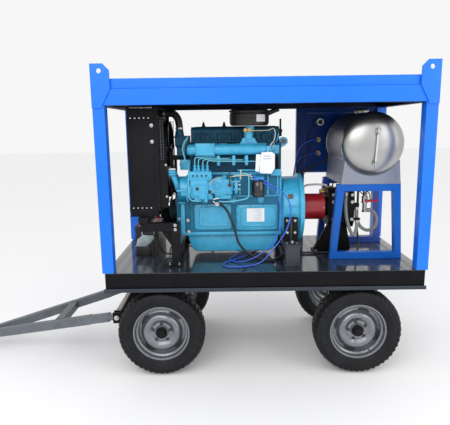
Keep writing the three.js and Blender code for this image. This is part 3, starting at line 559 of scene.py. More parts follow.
def lug(shape, centre, k, corners, low, high):
    """Tread block k: (share of a pitch, y) corners, carried from one radius out to another."""
    cx, cy, cz = centre
    turn = 2 * math.pi * k / PITCHES
    mid_pitch = sum(a for a, _ in corners) / len(corners)
    mid_y = sum(b for _, b in corners) / len(corners)
    rings = []
    for radius, shrink in ((low, 1.0), (high - 1.2, 0.98), (high, 0.9)):
        ring = []
        for a, b in corners:
            across = mid_y + (b - mid_y) * shrink
            angle = turn + (mid_pitch + (a - mid_pitch) * shrink) * 2 * math.pi / PITCHES
            reach = radius - max(0.0, abs(across) - SHOULDER_START) ** 2 * SHOULDER_DROP
            ring.append(shape.bm.verts.new(point(
                cx + reach * math.cos(angle), cy + across, cz + reach * math.sin(angle))))
        rings.append(ring)
    shape.bm.faces.new(list(reversed(rings[0])))
    shape.bm.faces.new(rings[-1])
    for a, b in zip(rings, rings[1:]):
        shape.bridge(a, b)


def tyre_shape(cx, cy, cz):
    """A bias-cut truck tread: chamfered shoulder lugs, two zigzag rows and a centre rib."""
    s = Shape()
    profile = [
        (180, -58), (186, -64), (198, -66), (206, -71), (222, -80), (240, -85.5), (256, -86.5),
        (268, -84.5), (280, -78), (288, -68), (291.5, -40), (292.5, 0), (291.5, 40), (288, 68),
        (280, 78), (268, 84.5), (256, 86.5), (240, 85.5), (222, 80), (206, 71), (198, 66),
        (186, 64), (180, 58), (181, 40), (228, 64), (274, 50), (276, 0), (274, -50), (228, -64),
        (181, -40),
    ]
    s.turned(profile, (cx, cy, cz), "y", 96, closed=True)
    for ridge in (-1, 1):
        for radius, depth in ((212, 77.3), (246, 87.2)):
            s.turned([(radius - 2, ridge * (depth - 2)), (radius, ridge * depth),
                      (radius + 2, ridge * (depth - 1)), (radius, ridge * (depth - 4))],
                     (cx, cy, cz), "y", 96, closed=True)
    centre = (cx, cy, cz)
    for k in range(PITCHES):
        for side in (-1, 1):
            phase = 0.5 if side > 0 else 0.0
            lug(s, centre, k, [(phase + 0.02, side * 42), (phase + 0.64, side * 48),
                            (phase + 0.74, side * 80), (phase + 0.10, side * 80)], 284, 299.4)
            lug(s, centre, k, [(phase + 0.25, side * 15), (phase + 0.95, side * 18),
                            (phase + 0.85, side * 37), (phase + 0.15, side * 34)], 288, 299.7)
        lug(s, centre, k, [(0.04, -9), (0.9, -11), (0.96, 9), (0.1, 11)], 288, 299.8)
    for side in (-1, 1):
        for k in range(PITCHES):
            a = 2 * math.pi * (k + (0.5 if side > 0 else 0) + 0.42) / PITCHES
            ring_low, ring_high = [], []
            for da, radius, yy in ((-0.022, 286, 79.5), (0.022, 286, 79.5), (0.018, 268, 86.2),
                                   (-0.018, 268, 86.2)):
                ring_low.append(s.bm.verts.new(point(
                    cx + (radius - 4) * math.cos(a + da), cy + side * (yy - 9),
                    cz + (radius - 4) * math.sin(a + da))))
                ring_high.append(s.bm.verts.new(point(
                    cx + radius * math.cos(a + da), cy + side * min(yy + 1.0, 87.3),
                    cz + radius * math.sin(a + da))))
            s.bm.faces.new(list(reversed(ring_low)))
            s.bm.faces.new(ring_high)
            s.bridge(ring_low, ring_high)
    return s


def rim_shape(cx, cy, cz, out):
    """A pressed disc in a drop-centre rim. out is the side the wheel's face looks to."""
    axis = "-y" if out < 0 else "y"
    s = Shape()
    barrel = [(196, 64), (193, 67), (184, 66), (178, 58), (176, 40), (164, 34), (158, 20),
              (158, -24), (164, -34), (176, -42), (178, -58), (184, -66), (193, -67), (196, -64),
              (194, -62), (186, -61), (182.5, -56), (180.5, -40), (168, -30), (162, -20),
              (162, 18), (168, 30), (180.5, 38), (182.5, 56), (186, 61), (194, 62)]
    s.turned(barrel, (cx, cy, cz), axis, 96, closed=True)

    def dimple(radius, angle):
        if not 66 <= radius <= 126:
            return 0
        return -5.5 * (0.5 + 0.5 * math.cos(5 * angle)) * math.sin(
            math.pi * (radius - 60) / 72)
    face = [(38, 36), (46, 38), (52, 40), (60, 39), (70, 37), (78, 41), (90, 50), (102, 54),
            (114, 53), (124, 46), (132, 34), (138, 22), (146, 17), (157, 16)]
    back = [(r, h - 5) for r, h in reversed(face)]
    s.turned(face + back, (cx, cy, cz), axis, 100, closed=True, wobble=dimple)
    s.turned([(27.2, -86), (44, -86), (46, -84), (46, 30), (40, 38), (32, 44), (27.2, 44)],
             (cx, cy, cz), axis, 32, closed=True)
    return s


def on_wheel(cx, cz, radius, degrees):
    a = math.radians(degrees)
    return cx + radius * math.cos(a), cz + radius * math.sin(a)


for end in ENDS:
    for side, out in SIDES:
        name = f"{end}_{side}"
        x0, x1, y0, y1, z0, z1 = box_of(f"tyre_{name}")
        cx, cy, cz = (x0 + x1) / 2, (y0 + y1) / 2, (z0 + z1) / 2
        body = f"wheel_{name}"
        piece(f"tyre_{name}_moulded", body, tyre_shape(cx, cy, cz), TYRE,
              f"tyre_{name}")
        piece(f"rim_{name}_pressed", body, rim_shape(cx, cy, cz, out), RIM_PAINT,
              f"wheel_rim_{name}")
        axis = "-y" if out < 0 else "y"
        cap = Shape()
        cap.turned([(0, 49.5), (27.2, 49.5), (27.2, 34), (40, 34), (40, 52), (37, 58), (30, 61),
                    (28, 78), (24, 82), (0, 83)], (cx, cy, cz), axis, 40)
        for dx, dz in around(10, 34):
            cap.rod(2.4, (cx + dx, cy + out * 50, cz + dz), (cx + dx, cy + out * 61, cz + dz),
                    sides=8)
        piece(f"hub_cap_{name}", body, cap, MATT_BLACK)
        nuts = Shape()
        for k in range(5):
            px, pz = on_wheel(cx, cz, 61, 90 + 72 * k + (12 if end == "rear" else 0))
            nuts.bolt(px, cy + out * 38, pz, axis, 9.5)
            nuts.rod(5, (px, cy + out * 40, pz), (px, cy + out * 52, pz), sides=10)
        px, pz = on_wheel(cx, cz, 168, -60 if end == "rear" else 40)
        nuts.rod(4.5, (px, cy + out * 30, pz), (px, cy + out * 62, pz), sides=10)
        piece(f"wheel_nuts_{name}", body, nuts, DARK_GREY)
        # Black pieces on the disc that stand for the shade seen through its slots: painted shade.
        slot_shade = Shape()
        for k in range(4):
            middle = 52 + 90 * k + (20 if end == "rear" else 0)
            inner_edge, outer_edge = [], []
            for j in range(9):
                a = math.radians(middle - 17 + 34 * j / 8)
                half = 8.75 * (1 - (abs(j - 4) / 4) ** 3 * 0.7)
                inner_edge.append((a, 147.75 - half))
                outer_edge.append((a, 147.75 + half))
            foot, crest = ([slot_shade.bm.verts.new(point(
                cx + r * math.cos(a), cy + out * (h + (2.5 if r < 148 else 0)),
                cz + r * math.sin(a))) for a, r in inner_edge + outer_edge[::-1]]
                for h in (10, 19))
            slot_shade.bm.faces.new(foot)
            slot_shade.bm.faces.new(list(reversed(crest)))
            slot_shade.bridge(foot, crest)
        piece(f"wheel_slot_shade_{name}", body, slot_shade, HOSE)

# ---- drawbar, turntable and axles ---------------------------------------
eye = Shape()
x0, _, _, _, z0, _ = box_of("tow_eye")
slope = math.atan(DRAWBAR_SLOPE)
up = Vector((-math.sin(slope), 0, math.cos(slope)))
ex = x0 + 42 * math.cos(slope) + 13 * math.sin(slope)
ez = z0 + 42 * math.sin(slope) + 13 * math.cos(slope)
eye.turned([(24, -10), (27, -13), (38, -13), (42, -9), (42, 9), (38, 13), (27, 13), (24, 10)],
           (ex, 0, ez), up, 48, closed=True)
before = set(eye.bm.verts)
eye.box(ex + 36, ex + 66, -20, 20, ez - 13, ez + 13, 2.5)
bmesh.ops.rotate(eye.bm, cent=point(ex, 0, ez), matrix=Matrix.Rotation(-slope, 3, "Y"),
                 verts=[v for v in eye.bm.verts if v not in before])
piece("tow_eye_forged", "drawbar", eye, STEEL, "tow_eye")

pins = Shape()
for side in (-1, 1):
    for y, out in ((366, side), (318, -side)):
        pins.bolt(-1038, side * y, 366, "y" if out > 0 else "-y", 13)
for side in (-1, 1):
    for z in (336, 398):
        for y in (285, 190, 95):
            pins.bolt(-1013, side * y, z, "-x", 7)
piece("drawbar_pin_heads", "steering", pins, STEEL)
strut = Shape()
for side in (-1, 1):
    outline = [(-1047, 403), (-952, 556), (-928, 556), (-1012, 403)]
    strut.prism("y", outline, side * 325.2, side * 326.6, 0.4)
piece("strut_faces", "steering", strut, PALE_GREY)
welds = Shape()
for side in (-1, 1):
    x_at, z_at = -1516, 100 + DRAWBAR_SLOPE * (-1516 + 2160)
    y_at = side * 342 * (x_at + 2160) / (2160 - 1038) - side * 22
    for dz in (-27, 29):
        welds.tube([(x_at - 27, y_at, z_at + dz), (x_at, y_at - side * 3, z_at + dz + 1),
                    (x_at + 27, y_at, z_at + dz + 3)], 4, 8)
welds.tube([(-2186, -22, 88), (-2190, 0, 100), (-2186, 22, 88)], 4, 8)
piece("drawbar_welds", "drawbar", welds, GREY)
ring_bolts = Shape()
for dx, y in around(10, 190, 0.5):
    ring_bolts.bolt(-706 + dx, y, 560, "-z", 9)
piece("turn_ring_bolts", "steering", ring_bolts, STEEL)
u_bolts = Shape()
for y in (-285, 285):
    for x in (604, 680):
        u_bolts.rod(6, (x, y, 256), (x, y, 350), sides=12)
        u_bolts.bolt(x, y, 262, "-z", 10)
    u_bolts.box(594, 690, y - 14, y + 14, 262, 269.5, 1.5)
piece("rear_axle_u_bolts", "trailer", u_bolts, STEEL)

# ---- engine: block side -------------------------------------------------
castings = Shape()
for x0, x1, z0, z1 in ((-479, -218, 958, 1142), (-178, 117, 953, 1136)):
    castings.prism("y", rounded(x0, x1, z0, z1, 16), -164, -174, 2)
    castings.prism("y", rounded(x0 + 38, x1 - 16, z0 + 30, z1 - 20, 26), -172, -180, 5, 3)
    castings.rim(x0 + 38, x1 - 16, z0 + 30, z1 - 20, -177, 26, 5)
    for k in range(4):
        x = x0 + 12 + (x1 - x0 - 24) * k / 3
        for z in (z0 + 11, z1 - 9):
            castings.bolt(x, -174, z, "-y", 6)
    for k in (1, 2):
        for x in (x0 + 11, x1 - 8):
            castings.bolt(x, -174, z0 + (z1 - z0) * k / 3, "-y", 6)
castings.box(-556, 148, -174, -150, 917, 938, 3)
for k in range(12):
    castings.bolt(-528 + 58 * k, -172, 917, "-z", 6, washer=False)
castings.box(-579, -549, -180, -150, 924, 1149, 7, segments=3)
castings.box(-596, -540, -176, -150, 1148, 1166, 5)
castings.turned([(0, 0), (86.5, 0), (86.5, 46), (80, 60), (66, 68), (40, 72), (0, 73)],
                (-512, -215, 1264), "-x", 56)
castings.turned([(58, 66), (62, 76), (70, 74), (74, 64)], (-512, -215, 1264), "-x", 56, closed=True)
castings.box(-592, -514, -312, -200, 1256, 1268, 3)
castings.turned([(84, 0), (94, 0), (96, 3), (96, 12), (94, 15), (84, 15)], (-512, -215, 1264),
                "-x", 56, closed=True)
for dy, dz in around(8, 78, 0.5):
    castings.bolt(-566, -215 + dy, 1264 + dz, "-x", 6)
castings.rod(19, (-570, -246, 1236), (-617, -282, 1372), sides=32)
castings.turned([(0, 0), (27, 0), (30, 3), (30, 18), (33, 20), (33, 30), (29, 33), (0, 33)],
                (-620, -284, 1366), "z", 32)
castings.box(-512, 146, -178, -160, 1196, 1206, 3)
castings.box(-512, 146, -175, -160, 1352, 1372, 3)
castings.box(-574, -500, -172, -60, 1392, 1464, 6)
for x in (-300, -194, -106):
    castings.box(x - 11, x + 11, -252, -150, 1426, 1494, 4)
    castings.bolt(x, -252, 1440, "-y", 7)
for x in (-452, -352, -252, -152, -52, 48, 118):
    castings.box(x - 7, x + 7, -172, -160, 1206, 1352, 3)
for x in (-402, -202, -2):
    castings.turned([(0, 0), (24, 0), (24, 4), (19, 6), (17, 2), (0, 2)], (x, -164, 1170), "-y", 32)
castings.box(63, 138, -214, -160, 1346, 1392, 5)
castings.box(-62, 12, -226, -160, 1318, 1350, 6)
castings.turned([(0, 0), (40, 0), (43, 4), (43, 12), (38, 16), (0, 16)], (-26, -261, 1330), "z", 40)
castings.box(-64, 12, -262, -200, 1328, 1348, 8)
castings.box(-170, 130, -190, -160, 1378, 1392, 4)
for x, z in ((-140, 1384), (-60, 1384), (40, 1384)):
    castings.bolt(x, -190, z, "-y", 7)
for z in (1010, 1060):
    castings.box(120, 146, -172, -150, z, z + 8, 2)
castings.tube([(138, -168, 940), (141, -170, 1080), (138, -168, 1190), (138, -166, 1340)], 9, 12)
for k in range(5):
    castings.turned([(0, 0), (26, 0), (26, 4), (21, 6), (19, 2), (0, 2)],
                    (-430 + 125 * k, 164, 1160), "y", 32)
castings.box(-512, 146, 160, 174, 1352, 1372, 3)
castings.box(-556, 148, 150, 174, 917, 938, 3)
castings.box(-200, 60, 160, 182, 970, 1110, 8, segments=3)
for x in (-190, -70, 50):
    for z in (980, 1100):
        castings.bolt(x, 182, z, "y", 6)
for x in (-452, -352, -252, -152, -52, 48):
    castings.box(x - 7, x + 7, 160, 173, 1180, 1352, 3)
piece("engine_castings", "trailer", castings, ENGINE)
oil_cap = Shape()
oil_cap.turned([(0, 0), (26, 0), (28, 3), (28, 9), (20, 15), (0, 16)], (-620, -284, 1399), "z", 32)
piece("oil_filler_cap", "trailer", oil_cap, LABEL)

pan = Shape()
pan.prism("y", [(-534, 921.5), (-534, 903), (-522, 868), (-504, 812), (-490, 793), (-462, 785.5),
                (52, 785.5), (80, 793), (96, 812), (122, 868), (133, 903), (133, 921.5)],
          -140, 140, 12, 4)
pan.box(-548, 146, -166, 166, 911, 921.5, 3)
pan.turned([(0, 0), (30, 0), (30, -6), (24, -9), (16, -9), (16, -16), (0, -16)],
           (-150, -96, 786), "z", 24)
for k in range(11):
    for side in (-1, 1):
        pan.bolt(-520 + 64 * k, side * 157, 911, "-z", 6)
piece("oil_pan_pressed", "trailer", pan, ENGINE, "oil_pan")

# ---- engine: head and rocker cover --------------------------------------
rocker = Shape()
rocker.prism("x", [(-93, 1577.3), (93, 1577.3), (93, 1662), (88, 1678), (70, 1688), (40, 1690),
                   (-40, 1690), (-70, 1688), (-88, 1678), (-93, 1662)], -498, 136, 9, 4)
rocker.box(-500, 138, -95, 95, 1577.3, 1590, 3)
for k in range(8):
    x = -452 + 78 * k
    rocker.turned([(0, 0), (15, 0), (15, 46), (11, 54), (0, 56)], (x, -88, 1594), "z", 20)
    rocker.box(x + 26, x + 42, -98, -80, 1592, 1668, 4)
for k in range(4):
    x = -412 + 152 * k
    rocker.tube([(x - 30, -97, 1600), (x - 24, -99, 1632), (x, -100, 1646), (x + 24, -99, 1632),
                 (x + 30, -97, 1600)], 6, 8)
rocker.box(-470, 110, -60, 60, 1688, 1692.5, 2)
piece("rocker_cover", "trailer", rocker, ENGINE_PAINTED_SHADE, "valve_cover")
studs = Shape()
for x in (-410, -259):
    studs.turned([(0, 0), (15, 0), (15, 6), (10, 8), (10, 22), (6, 24), (6, 34), (0, 35)],
                 (x, 0, 1691), "z", 16)
studs.rod(7, (147, -60, 1640), (147, -60, 1742), sides=16, chamfer=2)
studs.rod(10, (147, -60, 1617), (147, -60, 1660), sides=16, chamfer=2)
studs.box(132, 160, -72, -48, 1646, 1668, 3)
studs.box(94, 122, -168, -140, 1398, 1478, 4)
for k in range(5):
    studs.box(92, 124, -171, -138, 1404 + 15 * k, 1411 + 15 * k, 1)
piece("head_studs", "trailer", studs, MATT_BLACK)
head = Shape()
for k in range(8):
    x = -470 + 84 * k
    head.turned([(0, 0), (17, 0), (17, 10), (12, 14), (0, 14)], (x, -129, 1560), "-y", 20)
head.box(-512, 146, -136, -120, 1468, 1480, 3)
head.box(-512, 146, -136, -120, 1560, 1576, 3)
for x in (-440, -340, -240, -140, -40, 60, 120):
    head.bolt(x, -136, 1568, "-y", 7)
head.turned([(0, 0), (56, 0), (64, 6), (64, 44), (70, 50), (70, 72), (64, 78), (0, 78)],
            (-507, 0, FAN_Z), "-x", 48)
for y, dz in around(6, 56):
    head.bolt(-585, y, FAN_Z + dz, "-x", 7)
head.box(-612, -508, -122, -38, 1552, 1622, 12, segments=4)
head.turned([(0, 0), (44, 0), (44, 8), (34, 14), (30, 36), (28, 50), (0, 50)], (-580, -80, 1616),
            "z", 40)
for dx, dy in ((-36, -30), (36, -30), (-36, 30), (36, 30)):
    head.bolt(-574 + dx, -80 + dy, 1622, "z", 6)
head.box(-600, -520, -120, -40, 1478, 1556, 10, segments=3)
head.box(-595, -512, -168, -80, 1490, 1540, 8)
piece("head_castings", "trailer", head, ENGINE_PAINTED_SHADE)

arm = Shape()
arm.prism("y", [(92, 1500), (128, 1494), (150, 1520), (140, 1540), (176, 1552), (190, 1572),
                (188, 1600), (170, 1614), (148, 1610), (136, 1592), (128, 1560), (100, 1540)],
          -116, -88, 4, 3)
arm.turned([(0, 0), (30, 0), (30, 28), (26, 32), (0, 32)], (165, -86, 1583), "-y", 36)
arm.tube([(96, -104, 1560), (120, -108, 1596), (128, -104, 1640)], 5, 8)
piece("lifting_arm", "trailer", arm, ENGINE)
disc = Shape()
disc.turned([(0, 0), (18, 0), (18, 4), (14, 6), (0, 6)], (165, -117, 1583), "-y", 28)
piece("lifting_eye_plug", "trailer", disc, BROWN)

# ---- engine: manifolds --------------------------------------------------
intake = Shape()
intake.turned([(0, -522), (20, -520), (33, -512), (37.5, -500), (37.5, 16), (33, 26), (20, 29),
               (0, 29)], (0, -222, 1535), "x", 40)
for x in (-430, -280, -130, 0):
    intake.box(x - 24, x + 24, -214, -131, 1514, 1556, 6, segments=3)
    intake.box(x - 40, x + 40, -142, -131, 1496, 1574, 4)
    intake.bolt(x - 32, -142, 1504, "-y", 6)
    intake.bolt(x + 32, -142, 1566, "-y", 6)
intake.box(-453, -329, -272, -214, 1498, 1577, 4, segments=3)
intake.box(-458, -324, -262, -256, 1493, 1581, 1.5)
intake.box(-153, -17, -226, -120, 1500, 1556, 8, segments=3)
intake.prism("y", [(-166, 1545), (-6, 1545), (-14, 1572), (-38, 1580), (-44, 1612), (-134, 1612),
                   (-140, 1580), (-160, 1572)], -218, -150, 5, 3)
intake.turned([(0, 0), (37, 0), (37, 14), (33, 18), (33, 60), (30, 68), (0, 68)],
              (-89, -190, 1584), "z", 36)
intake.turned([(30, 0), (34, 0), (34, 41), (30, 41)], (-80, -150, 1652), "z", 36, closed=True)
intake.box(28, 62, -250, -200, 1512, 1558, 6)
intake.box(60, 128, -170, -131, 1498, 1560, 6)
for k in range(3):
    intake.bolt(-140 + 55 * k, -226, 1510, "-y", 7)
piece("intake_casting", "trailer", intake, ENGINE, "intake_manifold")
fitting = Shape()
for x in (-112, -84):
    fitting.turned([(0, 0), (15, 0), (15, 12), (12, 16), (12, 20), (0, 20)], (x, -196, 1651), "z",
                   6)
    fitting.turned([(6, 0), (12, 0), (12, 5), (6, 5)], (x, -204, 1666), "-y", 18, closed=True)
fitting.rod(8, (-122, -196, 1661), (-62, -196, 1661), sides=12)
piece("boost_fitting", "trailer", fitting, BRASS)
pipe = Shape()
pipe.tube([(-62, -196, 1661), (-10, -196, 1661), (44, -194, 1662), (62, -192, 1668),
           (80, -188, 1676), (92, -182, 1670)], 3.4, 10)
piece("boost_pipe", "trailer", pipe, ROD_STEEL)
air_line = Shape()
air_line.tube([(92, -182, 1672), (98, -180, 1640), (92, -182, 1600), (76, -186, 1572),
               (50, -190, 1548)], 2.6, 8)
piece("boost_hose", "trailer", air_line, LABEL)

exhaust = Shape()
exhaust.box(-480, 120, 178, 232, 1444, 1516, 16, segments=4)
for x in (-430, -280, -130, 20):
    exhaust.box(x - 26, x + 26, 131, 184, 1458, 1502, 8, segments=3)
    exhaust.box(x - 40, x + 40, 131, 141, 1446, 1514, 3)
exhaust.tube([(90, 226, 1480), (90, 262, 1482), (90, 300, 1490), (90, 322, 1497)], 29, 24)
exhaust.box(50, 130, 228, 238, 1442, 1518, 3)
exhaust.turned([(0, -330), (40, -328), (58, -320), (62, -306), (62, -292), (60, -286), (60, 106),
                (62, 112), (62, 126), (58, 140), (40, 148), (0, 150)], (0, 360, 1500), "x", 48)
exhaust.turned([(60, -90), (62.5, -88), (62.5, -82), (60, -80)], (0, 360, 1500), "x", 48,
               closed=True)
exhaust.turned([(19, 0), (24, 0), (24, 100), (19, 100), (19, 12), (0, 12), (0, 0)],
               (-270, 400, 1500), "y", 28)
for x in (-200, 60):
    exhaust.turned([(61, -14), (64, -14), (64, 14), (61, 14)], (x, 360, 1500), "x", 48, closed=True)
piece("exhaust_system", "trailer", exhaust,
      material("exhaust_black", (34, 32, 32), 0.6, metallic=0.3, vary=0.2, scale=8,
               dirt=(96, 66, 48), dirt_share=0.5, wear=(110, 84, 66), wear_share=0.5),
      "exhaust_silencer")

# ---- engine: injection pump ---------------------------------------------
pump = Shape()
pump.box(-496, -374, -318, -236, 1206, 1334, 8, segments=3)
pump.box(-500, -348, -322, -238, 1330, 1393, 5, segments=3)
pump.box(-490, -356, -328, -316, 1349, 1354, 2)
pump.box(-484, -386, -326, -300, 1222, 1300, 10, segments=3)
pump.turned([(0, 0), (24, 0), (26, 4), (26, 12), (20, 16), (0, 16)], (-446, -314, 1276), "-y", 32)
pump.turned([(0, 0), (30, 0), (30, 10), (24, 18), (0, 20)], (-414, -312, 1228), "-y", 36)
pump.box(-506, -486, -308, -250, 1216, 1300, 4)
pump.turned([(0, 0), (46, 0), (48, 6), (48, 14), (40, 20), (0, 20)], (-508, -280, 1262), "x", 40)
pump.box(-378, -340, -306, -240, 1196, 1330, 8, segments=3)
pump.box(-400, -378, -322, -300, 1180, 1232, 5)
pump.box(-470, -420, -316, -270, 1184, 1210, 6)
for k, x in enumerate((-462, -437, -407, -377)):
    pump.turned([(0, 0), (14, 0), (14, 10), (11, 12), (11, 22), (8, 26), (8, 42), (6, 44), (0, 44)],
                (x, -285, 1392), "z", 20)
    pump.turned([(0, 0), (11, 0), (11, 8), (0, 9)], (x, -285, 1424), "z", 6)
    pump.bolt(x + 12, -322, 1384, "-y", 5)
for x in (-488, -362):
    pump.bolt(x, -322, 1338, "-y", 6)
    pump.bolt(x + 8, -318, 1218, "-y", 6)
pump.turned([(0, 0), (62, 0), (70, 8), (71, 46), (66, 58), (50, 66), (0, 70)],
            (-296, -238, 1282), "-y", 48)
pump.turned([(19, 0), (27, 0), (29, 4), (27, 8), (19, 8)], (-310, -305, 1292), "-y", 40,
            closed=True)
pump.turned([(0, 0), (18, 0), (18, 3), (0, 4)], (-310, -305, 1292), "-y", 32)
pump.box(-276, -204, -300, -238, 1226, 1336, 12, segments=3)
pump.prism("y", [(-268, 1340), (-218, 1330), (-206, 1290), (-212, 1252), (-244, 1240)],
           -296, -308, 4)
pump.box(-240, -196, -296, -246, 1252, 1318, 6)
pump.turned([(0, 0), (16, 0), (16, 12), (12, 16), (12, 26), (0, 28)], (-262, -272, 1334), "z", 20)
pump.box(-330, -214, -290, -240, 1196, 1226, 8)
for dx, dz in around(6, 58, 1 / 3):
    pump.bolt(-296 + dx, -296, 1282 + dz, "-y", 6)
pump.turned([(0, 0), (58, 0), (61, 3), (61, 14), (54, 22), (0, 24)], (-191, -270, 1285), "x", 48)
piece("fuel_pump_casting", "trailer", pump, ENGINE, "injection_pump")
# The flat black discs and the slot stand for the shade inside the pump's holes and recesses:
# painted shade.
holes = Shape()
for x in (-474, -446, -414, -384):
    holes.turned([(0, 0), (7, 0), (7, 1.5), (0, 1.5)], (x, -322, 1364), "-y", 16)
holes.turned([(0, 0), (12, 0), (12, 1.5), (0, 1.5)], (-446, -330, 1276), "-y", 20)
holes.box(-372, -352, -309, -305, 1238, 1262, 2)
holes.rod(7, (-352, -300, 1236), (-330, -306, 1228), sides=12)
piece("fuel_pump_recesses", "trailer", holes, HOSE)
silver = Shape()
for x, z in ((-182, 1296), (-184, 1265), (-192, 1318)):
    silver.bolt(x + 12, -292, z, "x", 7)
    silver.rod(4, (x - 12, -292, z), (x + 34, -292, z), sides=10)
for x, z, size in ((-530, 1027, 10), (-525, 944, 10), (-592, 1036, 8)):
    silver.bolt(x, -176, z, "-y", size)
silver.rod(4.5, (-340, -316, 1200), (-300, -316, 1208), sides=10)
piece("engine_studs", "trailer", silver, STEEL)

pipes = Shape()
for k, x in enumerate((-462, -437, -407, -377)):
    top = 1486 - 8 * k
    end = (-300, -210, -120, -30)[k]
    pipes.tube([(x, -285, 1434), (x, -285, top - 26), (x + 2, -284, top - 9),
                (x + 9, -282, top - 2),
                (x + 26, -278, top), (x + 70, -262, top - 2 * k), (end - 40, -246, top - 3 * k),
                (end - 10, -226, top - 3 * k), (end + 4, -196, top + 6), (end + 6, -150, top + 20)],
               3.6, 10)
pipes.tube([(-514, -200, 1620), (-536, -212, 1588), (-548, -222, 1536), (-530, -238, 1470),
            (-508, -285, 1424), (-505, -318, 1340), (-505, -330, 1232), (-496, -332, 1206),
            (-474, -330, 1194), (-436, -326, 1190)], 4.6, 12)
pipes.tube([(-200, -306, 1362), (-150, -312, 1372), (-108, -312, 1370), (-95, -312, 1352),
            (-94, -312, 1240), (-100, -312, 1212), (-124, -310, 1198), (-190, -306, 1186),
            (-256, -300, 1180), (-300, -292, 1182)], 4.6, 12)
piece("injection_pipes", "trailer", pipes,
      material("pipe_teal", (96, 178, 200), 0.34, vary=0.08, scale=14, coat=0.2,
               dirt=(60, 140, 165), dirt_share=0.3))
link_rods = Shape()
link_rods.tube([(-225, -312, 1352), (-190, -316, 1358), (-120, -316, 1364), (-86, -306, 1367)], 3,
               8)
link_rods.rod(4.5, (-112, -314, 1364), (-76, -304, 1367), sides=12)
link_rods.box(-152, -146, -320, -308, 1336, 1402, 1)
link_rods.tube([(-360, -318, 1300), (-345, -322, 1330), (-315, -320, 1345), (-270, -316, 1350)],
               2.4, 8)
piece("throttle_linkage", "trailer", link_rods, ROD_STEEL)
lever = Shape()
lever.turned([(0, 0), (9, 0), (9, 36), (7, 38), (0, 38)], (-225, -312.5, 1300), "-y", 20)
lever.turned([(9, 30), (13, 30), (13, 37), (9, 37)], (-225, -312.5, 1300), "-y", 24, closed=True)
lever.prism("y", rounded(-230, -220, 1293, 1393, 4), -342, -349.5, 1.2)
lever.bolt(-225, -349.5, 1382, "-y", 4)
piece("throttle_lever_arm", "throttle_lever", lever, DARK_GREY, "throttle_lever")

# ---- engine: filters, flywheel and coupling ------------------------------
oil = Shape()
oil.turned([(0, 1206), (30, 1206), (40, 1210), (46, 1220), (47, 1228), (47, 1302), (44, 1308),
            (44, 1316), (40, 1322), (0, 1322)], (-26, -261, 0), "z", 48)
for low, high in zip(around(18, 45.5), around(18, 46.5)):
    oil.rod(2.2, (-26 + low[0], -261 + low[1], 1216), (-26 + high[0], -261 + high[1], 1240),
            sides=6)
piece("oil_filter_can", "trailer", oil,
      material("filter_gloss_black", (20, 20, 22), 0.16, vary=0.15, coat=0.6, scale=9, bump=0.05,
               dirt=(70, 40, 30), dirt_share=0.2), "oil_filter")
air = Shape()
air.turned([(0, 1694.5), (118, 1694.5), (130, 1698), (136, 1706), (137, 1712), (138, 1716),
            (138, 1776), (134, 1781), (134, 1786), (143, 1789), (145, 1794), (144, 1799),
            (136, 1803), (120, 1808), (60, 1812), (26, 1813), (26, 1818), (20, 1821), (0, 1821)],
           (-80, -110, 0), "z", 72)
air.turned([(137, 1740), (139.5, 1741), (139.5, 1745), (137, 1746)], (-80, -110, 0), "z", 72,
           closed=True)
for dx, dy in around(30, 137):
    air.rod(2.4, (-80 + dx, -110 + dy, 1716), (-80 + dx, -110 + dy, 1776), sides=6)
air.tube([(24, -110, 1772), (60, -110, 1782), (96, -110, 1797), (128, -110, 1808)], 33, 20,
         flat=0.5)
air.turned([(0, 0), (9, 0), (9, 6), (5, 8), (0, 8)], (-80, -110, 1820), "z", 12)
piece("air_filter_drum", "trailer", air, PLASTIC, "air_filter")
stick = Shape()
inner, outer_edge = [], []
for k in range(9):
    a = math.radians(-72 + 30 * k / 8)
    for radius, edge_line in ((139.0, inner), (140.2, outer_edge)):
        edge_line.append((-80 + radius * math.cos(a), -110 + radius * math.sin(a)))
stick.prism("z", inner + outer_edge[::-1], 1722, 1770, 0)
piece("air_filter_blank_label", "trailer", stick, LABEL)

wheel_case = Shape()
wheel_case.turned([(0, 145.5), (196, 145.5), (214, 150), (226, 160), (228, 170), (232, 262),
                   (238, 270), (252, 275), (252, 302), (249, 305), (0, 305)], (0, 0, CRANK_Z), "x",
                  96)
piece("flywheel_bell", "trailer", wheel_case, ENGINE, "flywheel_housing")
bell_bolts = Shape()
for y, dz in around(14, 243, 0.25):
    bell_bolts.bolt(275, y, CRANK_Z + dz, "-x", 6)
for x in (178, 232):
    for z in (950, 1036):
        bell_bolts.bolt(x, -266, z, "-y", 11)
piece("bell_bolts", "trailer", bell_bolts, STEEL)


def on_bell(shape, x0, x1, degrees, radius, half_width, half_depth):
    """A flat bar lying on the bell's near side, so many degrees above its axis."""
    a = math.radians(degrees)
    y, z = -radius * math.cos(a), CRANK_Z + radius * math.sin(a)
    shape.box(x0, x1, y - half_depth, y + half_depth, z - half_width, z + half_width, 1.5,
              turn=("X", -degrees))


inspection = Shape()
on_bell(inspection, 190, 226, 27.5, 232, 17, 3)
piece("inspection_square", "trailer", inspection, BROWN)
bell_ribs = Shape()
for degrees in (-24, 10, 41, 139, 170, 204):
    on_bell(bell_ribs, 196, 266, degrees, 235, 3.5, 6)
piece("bell_ribs", "trailer", bell_ribs, ENGINE)

